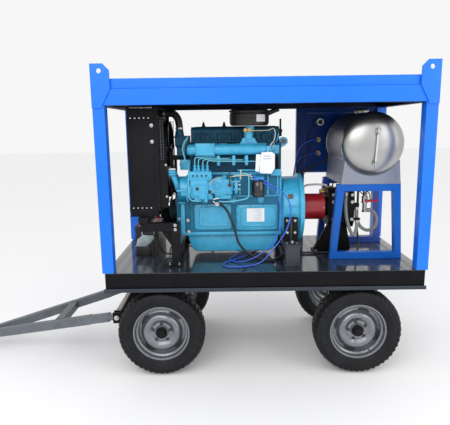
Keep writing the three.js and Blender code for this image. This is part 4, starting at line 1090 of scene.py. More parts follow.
guard = Shape()
guard.turned([(93.5, 305.5), (97, 305.5), (97, 478), (93.5, 478)], (0, 0, CRANK_Z), "x", 72,
             closed=True)
guard.turned([(96, 306), (112, 306), (112, 311), (96, 311)], (0, 0, CRANK_Z), "x", 72, closed=True)
guard.turned([(96.5, 470), (100, 471), (100, 477), (96.5, 478)], (0, 0, CRANK_Z), "x", 72,
             closed=True)
piece("coupling_guard_sheet", "trailer", guard, RED, "coupling_guard")
guard_bolts = Shape()
for y, dz in around(8, 104.5, 0.5):
    guard_bolts.bolt(311, y, CRANK_Z + dz, "x", 4, washer=False)
for x in (318, 468):
    guard_bolts.bolt(x, -97, 1096, "-y", 4.5)
    guard_bolts.bolt(x, 97, 1096, "y", 4.5)
piece("guard_bolts", "trailer", guard_bolts, STEEL)
coupling = Shape()
coupling.turned([(0, 305.6), (28, 305.6), (28, 338), (36, 342), (68, 342), (70, 345), (70, 377),
                 (66, 379), (66, 397), (70, 399), (70, 433), (67, 436), (36, 436), (28, 440),
                 (28, 499.4), (0, 499.4)], (0, 0, CRANK_Z), "x", 56)
for y, dz in around(6, 52):
    coupling.bolt(342, y, CRANK_Z + dz, "-x", 7)
piece("flexible_coupling", "crank", coupling, ALLOY, "drive_coupling")

# ---- belt drive ---------------------------------------------------------
def grooved(shape, radius, half, centre, sides=64):
    shape.turned([(0, -half), (radius * 0.5, -half), (radius * 0.55, -half + 3),
                  (radius * 0.78, -half + 3),
                  (radius * 0.82, -half), (radius - 1, -half), (radius, -half + 1),
                  (radius, -half + 4), (radius - 10, -1), (radius - 10, 1), (radius, half - 4),
                  (radius, half - 1), (radius - 1, half), (0, half)], centre, "x", sides)
    return shape


crank = grooved(Shape(), 75, 20, (BELT_X, 0, CRANK_Z))
crank.turned([(0, 0), (24, 0), (24, 39.3), (0, 39.3)], (BELT_X, 0, CRANK_Z), "x", 32)
crank.turned([(0, 0), (20, 0), (20, 8), (14, 12), (0, 12)], (-670, 0, 1090), "-x", 6)
piece("crank_pulley_cast", "crank", crank, TEAL_DARK, "crank_pulley")
rotor = grooved(Shape(), 35, 13, (BELT_X, ALTERNATOR_Y, ALTERNATOR_Z), 48)
rotor.rod(9, (BELT_X, ALTERNATOR_Y, ALTERNATOR_Z), (-600.6, 250, 1230), sides=20)
rotor.turned([(0, 0), (14, 0), (14, 8), (10, 11), (0, 11)], (-663, 250, 1230), "-x", 6)
for c, s in around(9, 1):
    rotor.prism("x", [(ALTERNATOR_Y + reach * c - across * s, ALTERNATOR_Z + reach * s + across * c)
                      for reach, across in ((12, 2), (34, 2), (34, -2), (12, -2))],
                -635, -617, 0.5, 1)
piece("alternator_pulley_turned", "alternator_rotor", rotor, STEEL, "alternator_pulley")
blades = grooved(Shape(), 70, 13, (BELT_X, 0, FAN_Z), 56)
blades.rod(18, (-668, 0, FAN_Z), (-589, 0, FAN_Z), sides=24)
blades.turned([(0, -689.5), (30, -689.5), (44, -687), (48, -681), (48, -668), (0, -668)],
              (0, 0, FAN_Z), "x", 40)
for k in range(6):
    turn = math.pi * k / 3 + 0.3
    rings = []
    for j in range(9):
        share = j / 8
        radius = 40 + 198 * share
        chord = 30 + 24 * math.sin(math.pi * min(1, share * 0.62 + 0.2))
        twist = 0.62 - 0.30 * share
        section = []
        for side in (1, -1):
            for m in range(7):
                u = (m / 6 - 0.5) * 2 * side
                bow = 4 * (1 - u * u)
                thick = 1.6 * side * (1 - abs(u) ** 3 * 0.7)
                across = u * chord
                dx = (across * math.sin(twist) * 0.42 + bow + thick)
                angle = turn + across * math.cos(twist) / radius * 0.8
                section.append(blades.bm.verts.new(point(
                    -679 + max(-10, min(10, dx)), radius * math.cos(angle),
                    FAN_Z + radius * math.sin(angle))))
        rings.append(section)
    for low, high in zip(rings, rings[1:]):
        blades.bridge(low, high)
    for ring in (rings[0], list(reversed(rings[-1]))):
        for m in range(6):
            blades.bm.faces.new((ring[m], ring[m + 1], ring[12 - m], ring[13 - m]))
piece("fan_moulded", "fan", blades, PLASTIC, "fan", sharp=50)
shroud = Shape()
shroud.turned([(256, -699.5), (283, -699.5), (283, -695), (266, -690), (262, -655), (258, -655)],
              (0, 0, FAN_Z), "x", 72, closed=True)
for side in (-1, 1):
    shroud.box(-699, -684, side * 262, side * 317.5, 1450, 1490, 2)
piece("fan_shroud", "trailer", shroud, MATT_BLACK, "fan_guard")


def outside_tangent(ay, az, ar, by, bz, br):
    """Normal angle of the outside tangent from circle a to circle b."""
    d = math.hypot(by - ay, bz - az)
    return math.atan2(bz - az, by - ay) - math.acos((ar - br) / d)


belt = Shape()
wheels_on_belt = [(0, FAN_Z, 66.5), (0, CRANK_Z, 71.5), (ALTERNATOR_Y, ALTERNATOR_Z, 31.5)]
outline = []
for i, (cy, cz, r) in enumerate(wheels_on_belt):
    py, pz, pr = wheels_on_belt[i - 1]
    ny, nz, nr = wheels_on_belt[(i + 1) % 3]
    start = outside_tangent(py, pz, pr, cy, cz, r)
    end = outside_tangent(cy, cz, r, ny, nz, nr)
    while end < start:
        end += 2 * math.pi
    steps = max(2, int((end - start) / 0.12))
    outline += [(cy + r * math.cos(start + (end - start) * k / steps),
                 cz + r * math.sin(start + (end - start) * k / steps)) for k in range(steps + 1)]
count = len(outline)
loop = []
for i, (y, z) in enumerate(outline):
    py, pz = outline[i - 1]
    ny, nz = outline[(i + 1) % count]
    ty, tz = ny - py, nz - pz
    size = math.hypot(ty, tz)
    oy, oz = tz / size, -ty / size
    loop.append([belt.bm.verts.new(point(BELT_X + w, y + oy * h, z + oz * h))
                 for w, h in ((-4, -3.5), (4, -3.5), (6, 4), (-6, 4))])
for i in range(count):
    belt.bridge(loop[i], loop[(i + 1) % count])
piece("fan_belt", "trailer", belt, BELT)

generator = Shape()
generator.turned([(0, -600), (30, -600), (58, -596), (66, -586), (66, -556), (62, -553), (62, -490),
                  (66, -487), (66, -452), (58, -442), (30, -440), (0, -440)],
                 (0, ALTERNATOR_Y, ALTERNATOR_Z), "x", 48)
for dy, dz in around(16, 63.2):
    y, z = ALTERNATOR_Y + dy, ALTERNATOR_Z + dz
    for x0, x1 in ((-594, -560), (-480, -446)):
        generator.rod(3, (x0, y, z), (x1, y, z), sides=6)
generator.box(-560, -522, 152, 204, 1172, 1206, 5)
generator.box(-566, -552, 170, 256, 1286, 1304, 3)
generator.rod(9, (-470, 250, 1288), (-470, 250, 1312), sides=12)
piece("alternator_case", "trailer", generator, ALLOY, "alternator")

# ---- radiator -----------------------------------------------------------
rad = Shape()
for side in (-1, 1):
    rad.box(-907, -738, side * 330.2, side * 333.5, 1150, 1748, 1.2)
    rad.box(-907, -895, side * 318, side * 334, 1150, 1748, 1.5)
for z in (1088, 1146, 1750, 1818):
    rad.box(-910, -716, -334, 334, z, z + 7, 1.5)
rad.box(-730, -700, -334, -316, 1800, 1826, 1.5)
rad.box(-738, -646, -321, -317.9, 1148, 1454, 1)
rad.box(-738, -728, -333, -318, 1148, 1748, 1)
rad.box(-702, -660, -321, -317.9, 1736, 1748, 1)
rad.box(-704, -664, -321, -317.9, 1454, 1476, 1)
rad.box(-738, -646, 317.9, 321, 1148, 1454, 1)
rad.box(-880, -760, -334, -330, 1092, 1140, 1.5)
rad.turned([(0, 0), (32, 0), (32, 3), (27, 5.4), (0, 5.4)], (-815, -150, 1824.2), "z", 40)
rad.turned([(0, 0), (20, 0), (20, 22), (17, 24), (0, 24)], (-905, -230, 1120), "-x", 24)
piece("radiator_casing", "trailer", rad, MATT_BLACK)
lattice = Shape()
for side in (-1, 1):
    for x in (-720, -702, -685, -668):
        lattice.box(x - 2.5, x + 2.5, side * 317.9, side * 320, 1470, 1740, 0.6, segments=1)
    for k in range(14):
        z = 1480 + 19.5 * k
        lattice.box(-726, -666, side * 318.2, side * 320.5, z - 1.6, z + 1.6, 0.5, segments=1)
piece("radiator_lattice", "trailer", lattice, DARK_GREY)
fins = Shape()
for k in range(42):
    y = -311 + 15.17 * k
    fins.box(-897.5, -894, y - 3, y + 3, 1162, 1750, 0.6, segments=1)
for k in range(73):
    z = 1164 + 8.05 * k
    fins.box(-896.6, -894.5, -316, 316, z - 0.7, z + 0.7, 0, segments=1)
for k in range(42):
    y = -311 + 15.17 * k
    fins.box(-731, -727.5, y - 3, y + 3, 1162, 1750, 0.6, segments=1)
piece("radiator_fins", "trailer", fins, CORE)
rad_bolts = Shape()
for z in (1704, 1597):
    rad_bolts.bolt(-741, -333.5, z, "-y", 9)
for k in range(5):
    rad_bolts.bolt(-880 + 30 * k, -334, 1754, "-y", 4)
    rad_bolts.bolt(-884 + 30 * k, -334, 1149, "-y", 4)
for x, z in ((-719, 1332), (-719, 1225), (-656, 1224), (-656, 1440), (-719, 1440)):
    rad_bolts.bolt(x, -321, z, "-y", 5.5)
    rad_bolts.bolt(x, 321, z, "y", 5.5)
rad_bolts.bolt(-620, -178, 1222, "-y", 8)
for k in range(12):
    rad_bolts.bolt(-880 + 13 * k, -334, 1822, "-y", 3.5)
    rad_bolts.bolt(-880 + 13 * k, 334, 1822, "y", 3.5)
piece("radiator_bolts", "trailer", rad_bolts, STEEL)
top_hose = Shape()
top_hose.tube([(-699, -60, 1790), (-665, -60, 1790), (-620, -70, 1785), (-590, -77, 1750),
               (-580, -80, 1700), (-580, -80, 1672.5)], 26, 28, steps=8)
piece("radiator_top_hose", "trailer", top_hose, HOSE, "radiator_hose")
clips = Shape()
for base, axis in (((-694, -60, 1790), "x"), ((-580, -80, 1678), "z")):
    clips.turned([(25.5, 0), (28.2, 0), (28.2, 10), (25.5, 10)], base, axis, 40, closed=True)
clips.box(-575, -558, -112, -100, 1676, 1690, 2)
clips.bolt(-558, -106, 1683, "x", 5)
piece("hose_clips", "trailer", clips, STEEL)
vent = Shape()
vent.tube([(-514, -150, 1632), (-522, -160, 1600), (-536, -190, 1560), (-540, -205, 1500),
           (-538, -205, 1462)], 3.2, 8)
piece("vent_pipe", "trailer", vent,
      material("vent_teal", (120, 176, 190), 0.4, vary=0.08, scale=14, dirt=(60, 120, 140),
               dirt_share=0.4))

# ---- battery ------------------------------------------------------------
cell = Shape()
for k in range(6):
    cell.turned([(0, 0), (17, 0), (17, 4), (14, 7), (0, 7)], (-845, 55 * k, 962), "z", 24)
for k in range(5):
    cell.box(-935.6, -759, -71.2, 336, 772 + 34 * k, 776 + 34 * k, 1.2)
cell.box(-938, -922, 60, 200, 900, 930, 4)
cell.box(-773, -757, 60, 200, 900, 930, 4)
cell.box(-926, -822, -95, -74, 743.6, 818, 3)
cell.box(-918, -830, -92, -80, 812, 826, 2)
cell.box(-892, -868, -96, -76, 955, 1004, 3)
piece("battery_caps", "trailer", cell, PLASTIC)
terminals = Shape()
for x, y in ((-872, 285), (-820, 285), (-900, -20)):
    terminals.turned([(0, 962), (20, 962), (20, 984), (15, 992), (0, 994)], (x, y, 0), "z", 24)
    terminals.box(x - 10, x + 26, y - 11, y + 11, 964, 982, 4)
piece("battery_terminal_boots", "trailer", terminals, RED_PLASTIC)
pink = Shape()
pink.box(-868, -764, 112, 258, 962, 963.5, 0)
piece("battery_blank_label", "trailer", pink, PINK_LABEL)
zinc = Shape()
zinc.prism("y", [(-930, 818), (-916, 872), (-872, 906), (-832, 900), (-802, 900), (-800, 944),
                 (-790, 946), (-786, 884), (-826, 836), (-862, 816)], -95, -90, 1.2)
zinc.box(-800, -788, -94, -70, 900, 946, 1.5)
zinc.box(-932, -846, -93, -72, 818, 824, 1.5)
zinc.bolt(-875, -95, 851, "-y", 10)
zinc.box(-898, -858, -95, -88, 968, 1000, 2)
zinc.bolt(-880, -95, 1000, "z", 8)
zinc.rod(5, (-880, -88, 900), (-880, -88, 1008), sides=12)
piece("battery_clamp", "trailer", zinc, ZINC)
battery_lead = Shape()
battery_lead.tube([(-900, -20, 990), (-880, -70, 1000), (-820, -110, 960), (-760, -120, 850),
                   (-720, -110, 775), (-650, -100, 760), (-560, -90, 770)], 6, 10)
battery_lead.tube([(-820, 285, 985), (-770, 300, 990), (-735, 300, 940), (-722, 290, 800),
                   (-690, 270, 757), (-600, 240, 756), (-480, 235, 758), (-380, 225, 790),
                   (-330, 215, 860)], 6, 10)
piece("battery_leads", "trailer", battery_lead, HOSE)

# ---- engine mounts ------------------------------------------------------
mounts = Shape()
for side in (-1, 1):
    axis = "-y" if side < 0 else "y"
    for x in (-644, -578):
        mounts.bolt(x, side * 384, 755, "z", 8)
        mounts.rod(4.5, (x, side * 384, 755), (x, side * 384, 776), sides=10)
    for z in (1004, 1034):
        mounts.bolt(-600, side * 376, z, axis, 8)
    for x in (168, 236):
        mounts.bolt(x, side * 340, 888, "z", 9)
    mounts.rod(7, (202, side * 350, 888), (202, side * 350, 912), sides=14)
    mounts.bolt(202, side * 350, 898, "z", 12)
piece("mount_bolts", "trailer", mounts, STEEL)
gussets = Shape()
for side in (-1, 1):
    gussets.box(-660, -556, side * 316, side * 392, 755, 760, 1)
    gussets.box(-846, -790, side * 338, side * 376, 1048, 1054, 1)
gussets.prism("y", [(-630, 880), (-700, 988), (-630, 988)], -340, -348, 1)
gussets.prism("y", [(-630, 880), (-790, 905), (-800, 988), (-630, 988)], 340, 348, 1)
piece("mount_gussets", "trailer", gussets, MATT_BLACK)
straps = Shape()
for side in (-1, 1):
    straps.box(199, 211, side * 266, side * 272, 884, 1052, 1.5)
    straps.box(148, 256, side * 298, side * 398, 881, 889.5, 2)
    straps.box(146, 258, side * 296, side * 400, 743.4, 751, 1.5)
piece("rear_mount_straps", "trailer", straps, DARK_GREY)
rear_faces = Shape()
for side in (-1, 1):
    rear_faces.box(155, 252, side * 266.1, side * 268, 879, 1059, 1)
piece("rear_mount_plates", "trailer", rear_faces, MATT_BLACK)

# ---- hoses and cables held at both ends ---------------------------------
SUCTION = [(806.5, -40, 1063), (830, -40, 1063), (858, -58, 1034), (866, -76, 990), (848, -80, 937),
           (796, -80, 918), (743, -80, 950), (714, -80, 1018), (711, -80, 1056), (711, -80, 1094)]
RETURN = [(622, -118, 1212), (622, -118, 1175), (620, -120, 1116), (630, -122, 1020),
          (655, -122, 937), (683, -122, 891), (704, -120, 936), (707, -118, 975), (707, -118, 1004)]
FUEL = [(-327, -268, 1159), (-301, -262, 1163), (-243, -245, 1105), (-195, -240, 981),
        (-164, -240, 872), (-99, -245, 796), (-17, -260, 760), (63, -277, 753), (120, -235, 753),
        (175, -150, 753), (300, -95, 753), (420, -90, 753), (550, -92, 753), (680, -88, 753),
        (738, -50, 760), (768, 40, 800), (775, 110, 880), (775, 120, 1000), (775, 120, 1150),
        (775, 120, 1258)]
THROTTLE_CABLE = [
    (-91, -300, 1358), (-3, -300, 1331), (73, -300, 1285), (138, -300, 1243), (187, -300, 1166),
    (195, -300, 1081), (172, -302, 986), (124, -308, 904), (61, -325, 829), (0, -350, 770),
    (-70, -385, 750), (-168, -420, 750), (-260, -400, 750), (-270, -330, 750), (-200, -250, 750),
    (-100, -120, 750), (-20, 40, 750), (80, 180, 750), (250, 240, 750), (290, 330, 750),
    (305, 400, 751), (314, 432, 775), (318, 440, 830), (320, 440, 1000), (322, 438, 1300),
    (360, 430, 1500), (440, 425, 1565), (490, 428, 1574), (KNOB_X, 445, THROTTLE_Z),
    (KNOB_X, 461.5, THROTTLE_Z)]
STOP_CABLE = [
    (-85, -290, 1341), (32, -290, 1292), (101, -290, 1221), (128, -292, 1123), (131, -294, 1016),
    (103, -296, 938), (40, -300, 852), (-37, -310, 792), (-125, -322, 760), (-190, -300, 750),
    (-230, -230, 750), (-180, -120, 750), (-60, 60, 750), (60, 196, 750), (240, 262, 750),
    (276, 345, 750), (292, 405, 752), (303, 436, 780), (308, 442, 900), (312, 440, 1240),
    (350, 432, 1400), (440, 428, 1455), (490, 430, 1462), (KNOB_X, 445, STOP_Z),
    (KNOB_X, 461.5, STOP_Z)]
for name, route, radius, sides, node, slot_name, finish in (
        ("suction_hose_line", SUCTION, 12.2, 20, "suction_hose", "grey_hose", GREY_HOSE),
        ("return_hose_line", RETURN, 12.2, 20, "return_hose", "grey_hose", GREY_HOSE),
        ("fuel_hose_line", FUEL, 8.5, 16, "fuel_hose", "hose_rubber", HOSE),
        ("throttle_cable_line", THROTTLE_CABLE, 4.6, 12, "control_cable", "cable_blue", CABLE)):
    line = Shape()
    line.tube(route, radius, sides, steps=8)
    piece(name, "trailer", line, finish, node)
line = Shape()
line.tube(STOP_CABLE, 4.2, 12, steps=8)
piece("stop_cable_line", "trailer", line, CABLE)
ends = Shape()
for start, end, radius in (
        ((806, -40, 1063), (822, -40, 1063), 15), ((711, -80, 1074), (711, -80, 1094), 15),
        ((622, -118, 1186), (622, -118, 1211), 15), ((707, -118, 984), (707, -118, 1004), 15),
        ((775, 120, 1236), (775, 120, 1257), 11), ((-330, -268, 1159), (-306, -264, 1162), 11),
        ((-91, -300, 1358), (-70, -300, 1352), 6.5), ((-85, -290, 1341), (-64, -290, 1333), 6),
        ((KNOB_X, 440, THROTTLE_Z), (KNOB_X, 461, THROTTLE_Z), 7),
        ((KNOB_X, 440, STOP_Z), (KNOB_X, 461, STOP_Z), 7)):
    ends.rod(radius, start, end, sides=24)
ends.turned([(0, -12), (15, -12), (15, 12), (0, 12)], (-314, -266, 1160), "y", 24)
ends.turned([(0, 0), (10, 0), (10, 9), (0, 10)], (-314, -278, 1160), "-y", 6)
ends.rod(7, (-326, -266, 1164), (-344, -270, 1184), sides=16)
ends.turned([(0, 0), (17, 0), (17, 14), (14, 16), (0, 16)], (707, -118, 1003), "z", 6)
ends.turned([(0, 0), (17, 0), (17, 14), (14, 16), (0, 16)], (711, -80, 1090), "z", 6)
piece("hose_end_fittings", "trailer", ends, STEEL)
ties = Shape()
for k in (7, 20, 24):
    along = Vector(THROTTLE_CABLE[k + 1]) - Vector(THROTTLE_CABLE[k - 1])
    ties.turned([(5, -3), (8, -3), (8, 3), (5, 3)], THROTTLE_CABLE[k], along, 16, closed=True)
piece("cable_ties", "trailer", ties, PLASTIC)

# ---- blank tags on the engine -------------------------------------------
tags = Shape()
tags.prism("y", [(-16, 1372), (64, 1366), (88, 1404), (88, 1500), (66, 1516), (-4, 1514),
                 (-16, 1440)],
           -262, -260.6, 0)
tags.prism("y", [(-46, 1382), (-20, 1380), (-8, 1500), (-40, 1502)], -257, -255.8, 0)
tags.prism("y", [(-103, 1014), (23, 1014), (23, 1111), (-103, 1111)], -181.4, -180.2, 0)
piece("blank_tags", "trailer", tags, LABEL)
marks = Shape()
for x0, x1 in ((-52, -44), (-36, 4)):
    for k in range(6):
        z = 1026 + 14 * k
        marks.box(x0, x1, -182.0, -181.2, z, z + 5, 0)
for k in range(2):
    marks.box(8, 64, -262.6, -261.8, 1466 + 18 * k, 1474 + 18 * k, 0)
piece("tag_shading", "trailer", marks,
      material("tag_grey", (176, 182, 190), 0.6, vary=0.1, scale=60, bump=0.02))
string = Shape()
string.tube([(34, -260, 1512), (44, -250, 1540), (60, -232, 1566), (76, -200, 1580),
             (92, -170, 1572), (80, -200, 1540), (52, -250, 1512)], 1.4, 6)
piece("tag_string", "trailer", string, LABEL)

# ---- plunger pump -------------------------------------------------------
pump_face = Shape()
pump_face.prism("y", rounded(516, 676, 984, 1206, 14), -104.5, -112, 2.5)
pump_face.box(560, 632, -120, -110, 1060, 1130, 5, segments=3)
pump_face.turned([(29, 0), (72, 0), (72, 8), (64, 14), (50, 16), (46, 22), (29, 22)],
                 (501, 0, CRANK_Z),
                 "-x", 48, closed=True)
for k in range(4):
    pump_face.box(540 + 34 * k, 546 + 34 * k, -60, 44, 1224, 1232, 1.5)
pump_face.box(505, 688, -88, 60, 948, 962, 3)
for side in (-1, 1):
    pump_face.prism("x", [(20 + side * 40, 756), (20 + side * 15, 756), (20 + side * 15, 900)],
                    540, 548, 1)
pump_face.box(404, 704, -64, 64, 743.5, 756, 2)
piece("pump_end_covers", "trailer", pump_face, BLACK)
pump_bolts = Shape()
for x in (536, 672):
    for z in (1008, 1136, 1190):
        pump_bolts.bolt(x, -112, z, "-y", 9)
for y, dz in around(6, 60, 0.5):
    pump_bolts.bolt(493, y, CRANK_Z + dz, "-x", 6)
for x in (424, 684):
    for y in (-48, 48):
        pump_bolts.bolt(x, y, 756, "z", 9)
for x in (560, 630):
    for z in (1030, 1150):
        pump_bolts.bolt(x, 190, z, "y", 9)
piece("pump_bolts", "trailer", pump_bolts, STEEL)
valves = Shape()
valves.box(515, 675, 70.5, 190, 1010, 1170, 5, segments=3)
for x in (540, 595, 650):
    valves.turned([(0, 185), (24, 185), (24, 226), (19, 234), (0, 234)], (x, 0, CRANK_Z), "y", 32)
    valves.turned([(0, 0), (20, 0), (20, 12), (17, 15), (0, 15)], (x, 130, 1169), "z", 6)
    valves.turned([(0, 0), (20, 0), (20, 10), (17, 13), (0, 13)], (x, 190, 1040), "y", 6)
    valves.turned([(0, 0), (20, 0), (20, 10), (17, 13), (0, 13)], (x, 190, 1140), "y", 6)
for x in (535, 575):
    valves.turned([(0, 1165), (15, 1165), (15, 1196), (18, 1197), (18, 1214), (12, 1217),
                   (12, 1227),
                   (0, 1227)], (x, 130, 0), "z", 28)
valves.rod(20, (484, 66, 1190), (590, 66, 1190), sides=32, chamfer=3)
valves.turned([(0, 0), (24, 0), (24, 16), (20, 20), (0, 20)], (484, 66, 1190), "-x", 6)
valves.box(520, 556, 46, 96, 1160, 1214, 5)
valves.turned([(0, 0), (13, 0), (13, 26), (9, 30), (0, 30)], (538, 66, 1206), "z", 24)
valves.rod(9, (500, 66, 1170), (500, 66, 1214), sides=20)
piece("pump_manifold", "trailer", valves, BRASS, "pump_head")
white = Shape()
white.tube([(352, 150, 1216), (380, 150, 1232), (440, 146, 1238), (500, 140, 1236),
            (535, 132, 1232)],
           8, 14)
piece("relief_hose", "trailer", white, LABEL)
lines = Shape()
lines.tube([(575, 130, 1226), (590, 140, 1250), (640, 150, 1256), (700, 140, 1236),
            (728, 120, 1180),
            (732, 110, 1120), (724, 100, 1060)], 5, 10)
lines.tube([(648, -118, 1222), (690, -124, 1238), (742, -122, 1236), (790, -118, 1200),
            (800, -112, 1150)], 4, 10)
lines.tube([(660, -100, 1236), (720, -104, 1214), (760, -100, 1190), (786, -98, 1240)], 3.4, 8)
piece("pump_small_lines", "trailer", lines, HOSE)
handle = Shape()
handle.turned([(0, 0), (9, 0), (9, 19), (0, 19)], (783, -64.6, 1140), "-y", 20)
handle.prism("y", [(772, 1130), (794, 1130), (866, 1134), (866, 1148), (794, 1150), (772, 1150)],
             -82, -92, 3, 3)
piece("ball_valve_lever", "valve_handle", handle, RED_PLASTIC, "valve_handle")

# ---- tank ---------------------------------------------------------------
tank = Shape()
profile = [(0, -325)]
for k in range(1, 13):
    a = math.radians(90 * k / 12)
    profile.append((TANK_R * math.sin(a) ** 0.86, -230 - 95 * math.cos(a) ** 0.92))
profile[-1] = (TANK_R, -230)
profile += [(218.6, -228), (219.4, -224), (218.6, -220), (TANK_R, -218), (TANK_R, 0), (TANK_R, 238),
            (218.6, 240), (219.4, 244), (218.6, 248)]
for k in range(12, 0, -1):
    a = math.radians(90 * k / 12)
    profile.append((TANK_R * math.sin(a) ** 0.86, 250 + 80 * math.cos(a) ** 0.92))
profile.append((0, 330))
tank.turned(profile, (TANK_X, 0, TANK_Z), "y", 112)
tank.turned([(0, 1768), (52, 1768), (52, 1789), (54, 1790), (54, 1792), (0, 1792)],
            (TANK_X, 60, 0), "z", 48)
tank.rod(17, (783, -40, 1052), (783, -40, 1352), sides=32)
tank.turned([(0, 0), (26, 0), (26, 10), (23, 12), (23, 36), (26, 38), (26, 48), (0, 48)],
            (783, -40, 1118), "z", 8)
tank.rod(14, (783, -40, 1063), (806, -40, 1063), sides=24)
tank.turned([(0, 0), (21, 0), (21, 12), (17, 14), (0, 14)], (783, -40, 1049), "z", 6)
tank.rod(11, (775, 120, 1258.6), (775, 120, 1364), sides=24)
piece("tank_polished", "trailer", tank, STAINLESS, "tank_shell")
sight = Shape()
for x, z, low in ((768, 1651, True), (757, 1427, False)):
    sight.rod(12, (x, -318 if z > 1600 else -300, z), (x, -334, z), sides=24)
    sight.turned([(0, 0), (16, 0), (16, 8), (13, 10), (0, 10)], (x, -322, z), "-y", 6)
    sight.rod(9, (x, -336, z - (16 if low else 14)), (x, -336, z + 14), sides=20)
    sight.turned([(0, 0), (12, 0), (12, 8), (0, 8)], (x, -336, z - 26 if low else z + 10), "z", 6)
sight.tube([(768, -334, 1664), (764, -334, 1672), (774, -334, 1676), (782, -334, 1664),
            (782, -334, 1650)], 4, 10)
piece("sight_fittings", "trailer", sight, STEEL)
glass = Shape()
glass.rod(6, (767.2, -336, 1632), (757.8, -336, 1442), sides=20)
piece("sight_glass", "trailer", glass, CLEAR)
cap = Shape()
_, _, _, y1, z0, _ = box_of("fuel_cap")
cap.turned([(0, z0), (53, z0), (54, z0 + 1), (54, z0 + 11), (51, z0 + 14), (46, z0 + 17.5),
            (30, z0 + 18), (12, z0 + 16.5), (0, z0 + 16)], (TANK_X, 60, 0), "z", 48)
for dx, dy in around(24, 53):
    cap.rod(2, (TANK_X + dx, 60 + dy, z0 + 2), (TANK_X + dx, 60 + dy, z0 + 10), sides=6)
cap.box(752, 772, 106, y1, z0, z0 + 12, 2.5)
piece("filler_cap", "tank_cap", cap, PLASTIC, "fuel_cap")
hinge = Shape()
hinge.rod(4, (746, 118, z0 + 6), (778, 118, z0 + 6), sides=16)
piece("filler_cap_pin", "tank_cap", hinge, STEEL)
saddle = Shape()
for y in (-243.5, 288.2):
    saddle.prism("y", [(553, 1283), (971, 1283), (970, 1291), (555, 1291)], y, y + 1.6, 0.4, 1)
for y in (-242.5, 288.5):
    saddle.tube([(TANK_X + 219 * math.cos(math.radians(a)), y,
                  TANK_Z + 219 * math.sin(math.radians(a))) for a in range(211, 331, 8)], 2.6, 8)
piece("saddle_beads", "trailer", saddle, SHEET)

# ---- control panel ------------------------------------------------------
frame_bars = Shape()
frame_bars.box(406, 414, 464, 476, 1300, 1790, 2)
frame_bars.box(406, 999, 462, 476, 1788, 1798, 2)
frame_bars.box(406, 999, 464, 476, 1300, 1312, 2)
frame_bars.box(985, 999, 464, 476, 1300, 1798, 2)
frame_bars.box(340, 404, 494, 500, 744, 1829, 1.5)
frame_bars.box(400, 999, 492, 498, 1300, 1312, 2)
frame_bars.box(400, 999, 492, 498, 1816, 1828, 2)
frame_bars.box(987, 999, 492, 498, 1300, 1828, 2)
piece("panel_edges", "trailer", frame_bars, BLUE_PAINTED_SHADE)
ring = Shape()
ring.turned([(19, 0), (29, 0), (31, 3), (31, 12), (28, 16), (19, 16)], (531, 448, 1718), "-y", 40,
            closed=True)
piece("lamp_ring", "trailer", ring, CHROME)
chrome = Shape()
chrome.turned([(40, 0), (50, 0), (52, 3), (50, 10), (43, 12), (40, 10)], (521, 493, 1718), "y",
              48, closed=True)
for x, z in ((620, 1718), (620, 1600), (700, 1600), (780, 1600)):
    chrome.turned([(13, 0), (21, 0), (22, 3), (20, 8), (13, 8)], (x, 493, z), "y", 32, closed=True)
for x in (420, 980):
    for z in (1320, 1560, 1806):
        chrome.bolt(x, 494, z, "y", 6)
piece("panel_bezels", "trailer", chrome, STEEL)
dark = Shape()
dark.turned([(0, 0), (18.5, 0), (18.5, 10), (0, 12)], (531, 448, 1718), "-y", 32)
dark.box(690, 860, 434, 484, 1640, 1760, 5, segments=3)
for k in range(4):
    dark.rod(6, (708 + 44 * k, 452, 1641), (708 + 44 * k, 452, 1622), sides=12)
for x in (700, 780):
    dark.turned([(0, 0), (13, 0), (13, 10), (9, 14), (0, 14)], (x, 494, 1600), "y", 24)
dark.box(614, 626, 494, 508, 1590, 1610, 2)
piece("panel_switch_gear", "trailer", dark, PLASTIC)
face = Shape()
face.turned([(0, 0), (41, 0), (41, 6), (0, 6)], (521, 493.5, 1718), "y", 48)
face.turned([(0, 0), (14, 0), (14, 5), (0, 5)], (620, 493.5, 1718), "y", 32)
piece("gauge_faces", "trailer", face, GAUGE_GLASS)
needle = Shape()
needle.box(519.5, 522.5, 499.4, 500.2, 1716, 1750, 0, turn=("Y", 40))
needle.turned([(0, 0), (5, 0), (4, 3), (0, 3)], (521, 499.4, 1718), "y", 16)
for k in range(11):
    a = math.radians(225 - 27 * k)
    needle.rod(0.9, (521 + 34 * math.cos(a), 499.7, 1718 + 34 * math.sin(a)),
               (521 + 39 * math.cos(a), 499.7, 1718 + 39 * math.sin(a)), sides=6, chamfer=0.1)
piece("gauge_needle", "trailer", needle, PLASTIC)
nuts = Shape()
for z in (THROTTLE_Z, STOP_Z):
    nuts.turned([(8, 0), (20, 0), (22, 3), (22, 12), (8, 12)], (KNOB_X, 474, z), "-y", 6,
                closed=True)
    nuts.turned([(0, 0), (11, 0), (11, 22), (8, 26), (0, 26)], (KNOB_X, 470, z), "-y", 24)
    nuts.turned([(10, 0), (16, 0), (16, 6), (10, 6)], (KNOB_X, 494, z), "y", 6, closed=True)
piece("cable_end_nuts", "trailer", nuts, BRASS)
for name, body, node, z, finish, slot_name in (
        ("throttle_pull", "throttle_knob", "throttle_knob", THROTTLE_Z, PLASTIC, "black_plastic"),
        ("stop_pull", "stop_knob", "stop_knob", STOP_Z, RED_PLASTIC, "red_plastic")):
    knob = Shape()
    knob.turned([(0, 0.6), (5, 0.6), (5, 11), (8, 12), (15, 14), (17.5, 18), (17.5, 25), (14, 28.5),
                 (6, 30), (0, 30)], (KNOB_X, 494, z), "y", 36)
    piece(name, body, knob, finish, node)
wires = Shape()
wires.tube([(531, 438, 1718), (500, 432, 1700), (440, 436, 1600), (418, 430, 1480),
            (380, 420, 1400),
            (352, 410, 1300), (338, 400, 1180)], 3, 8)
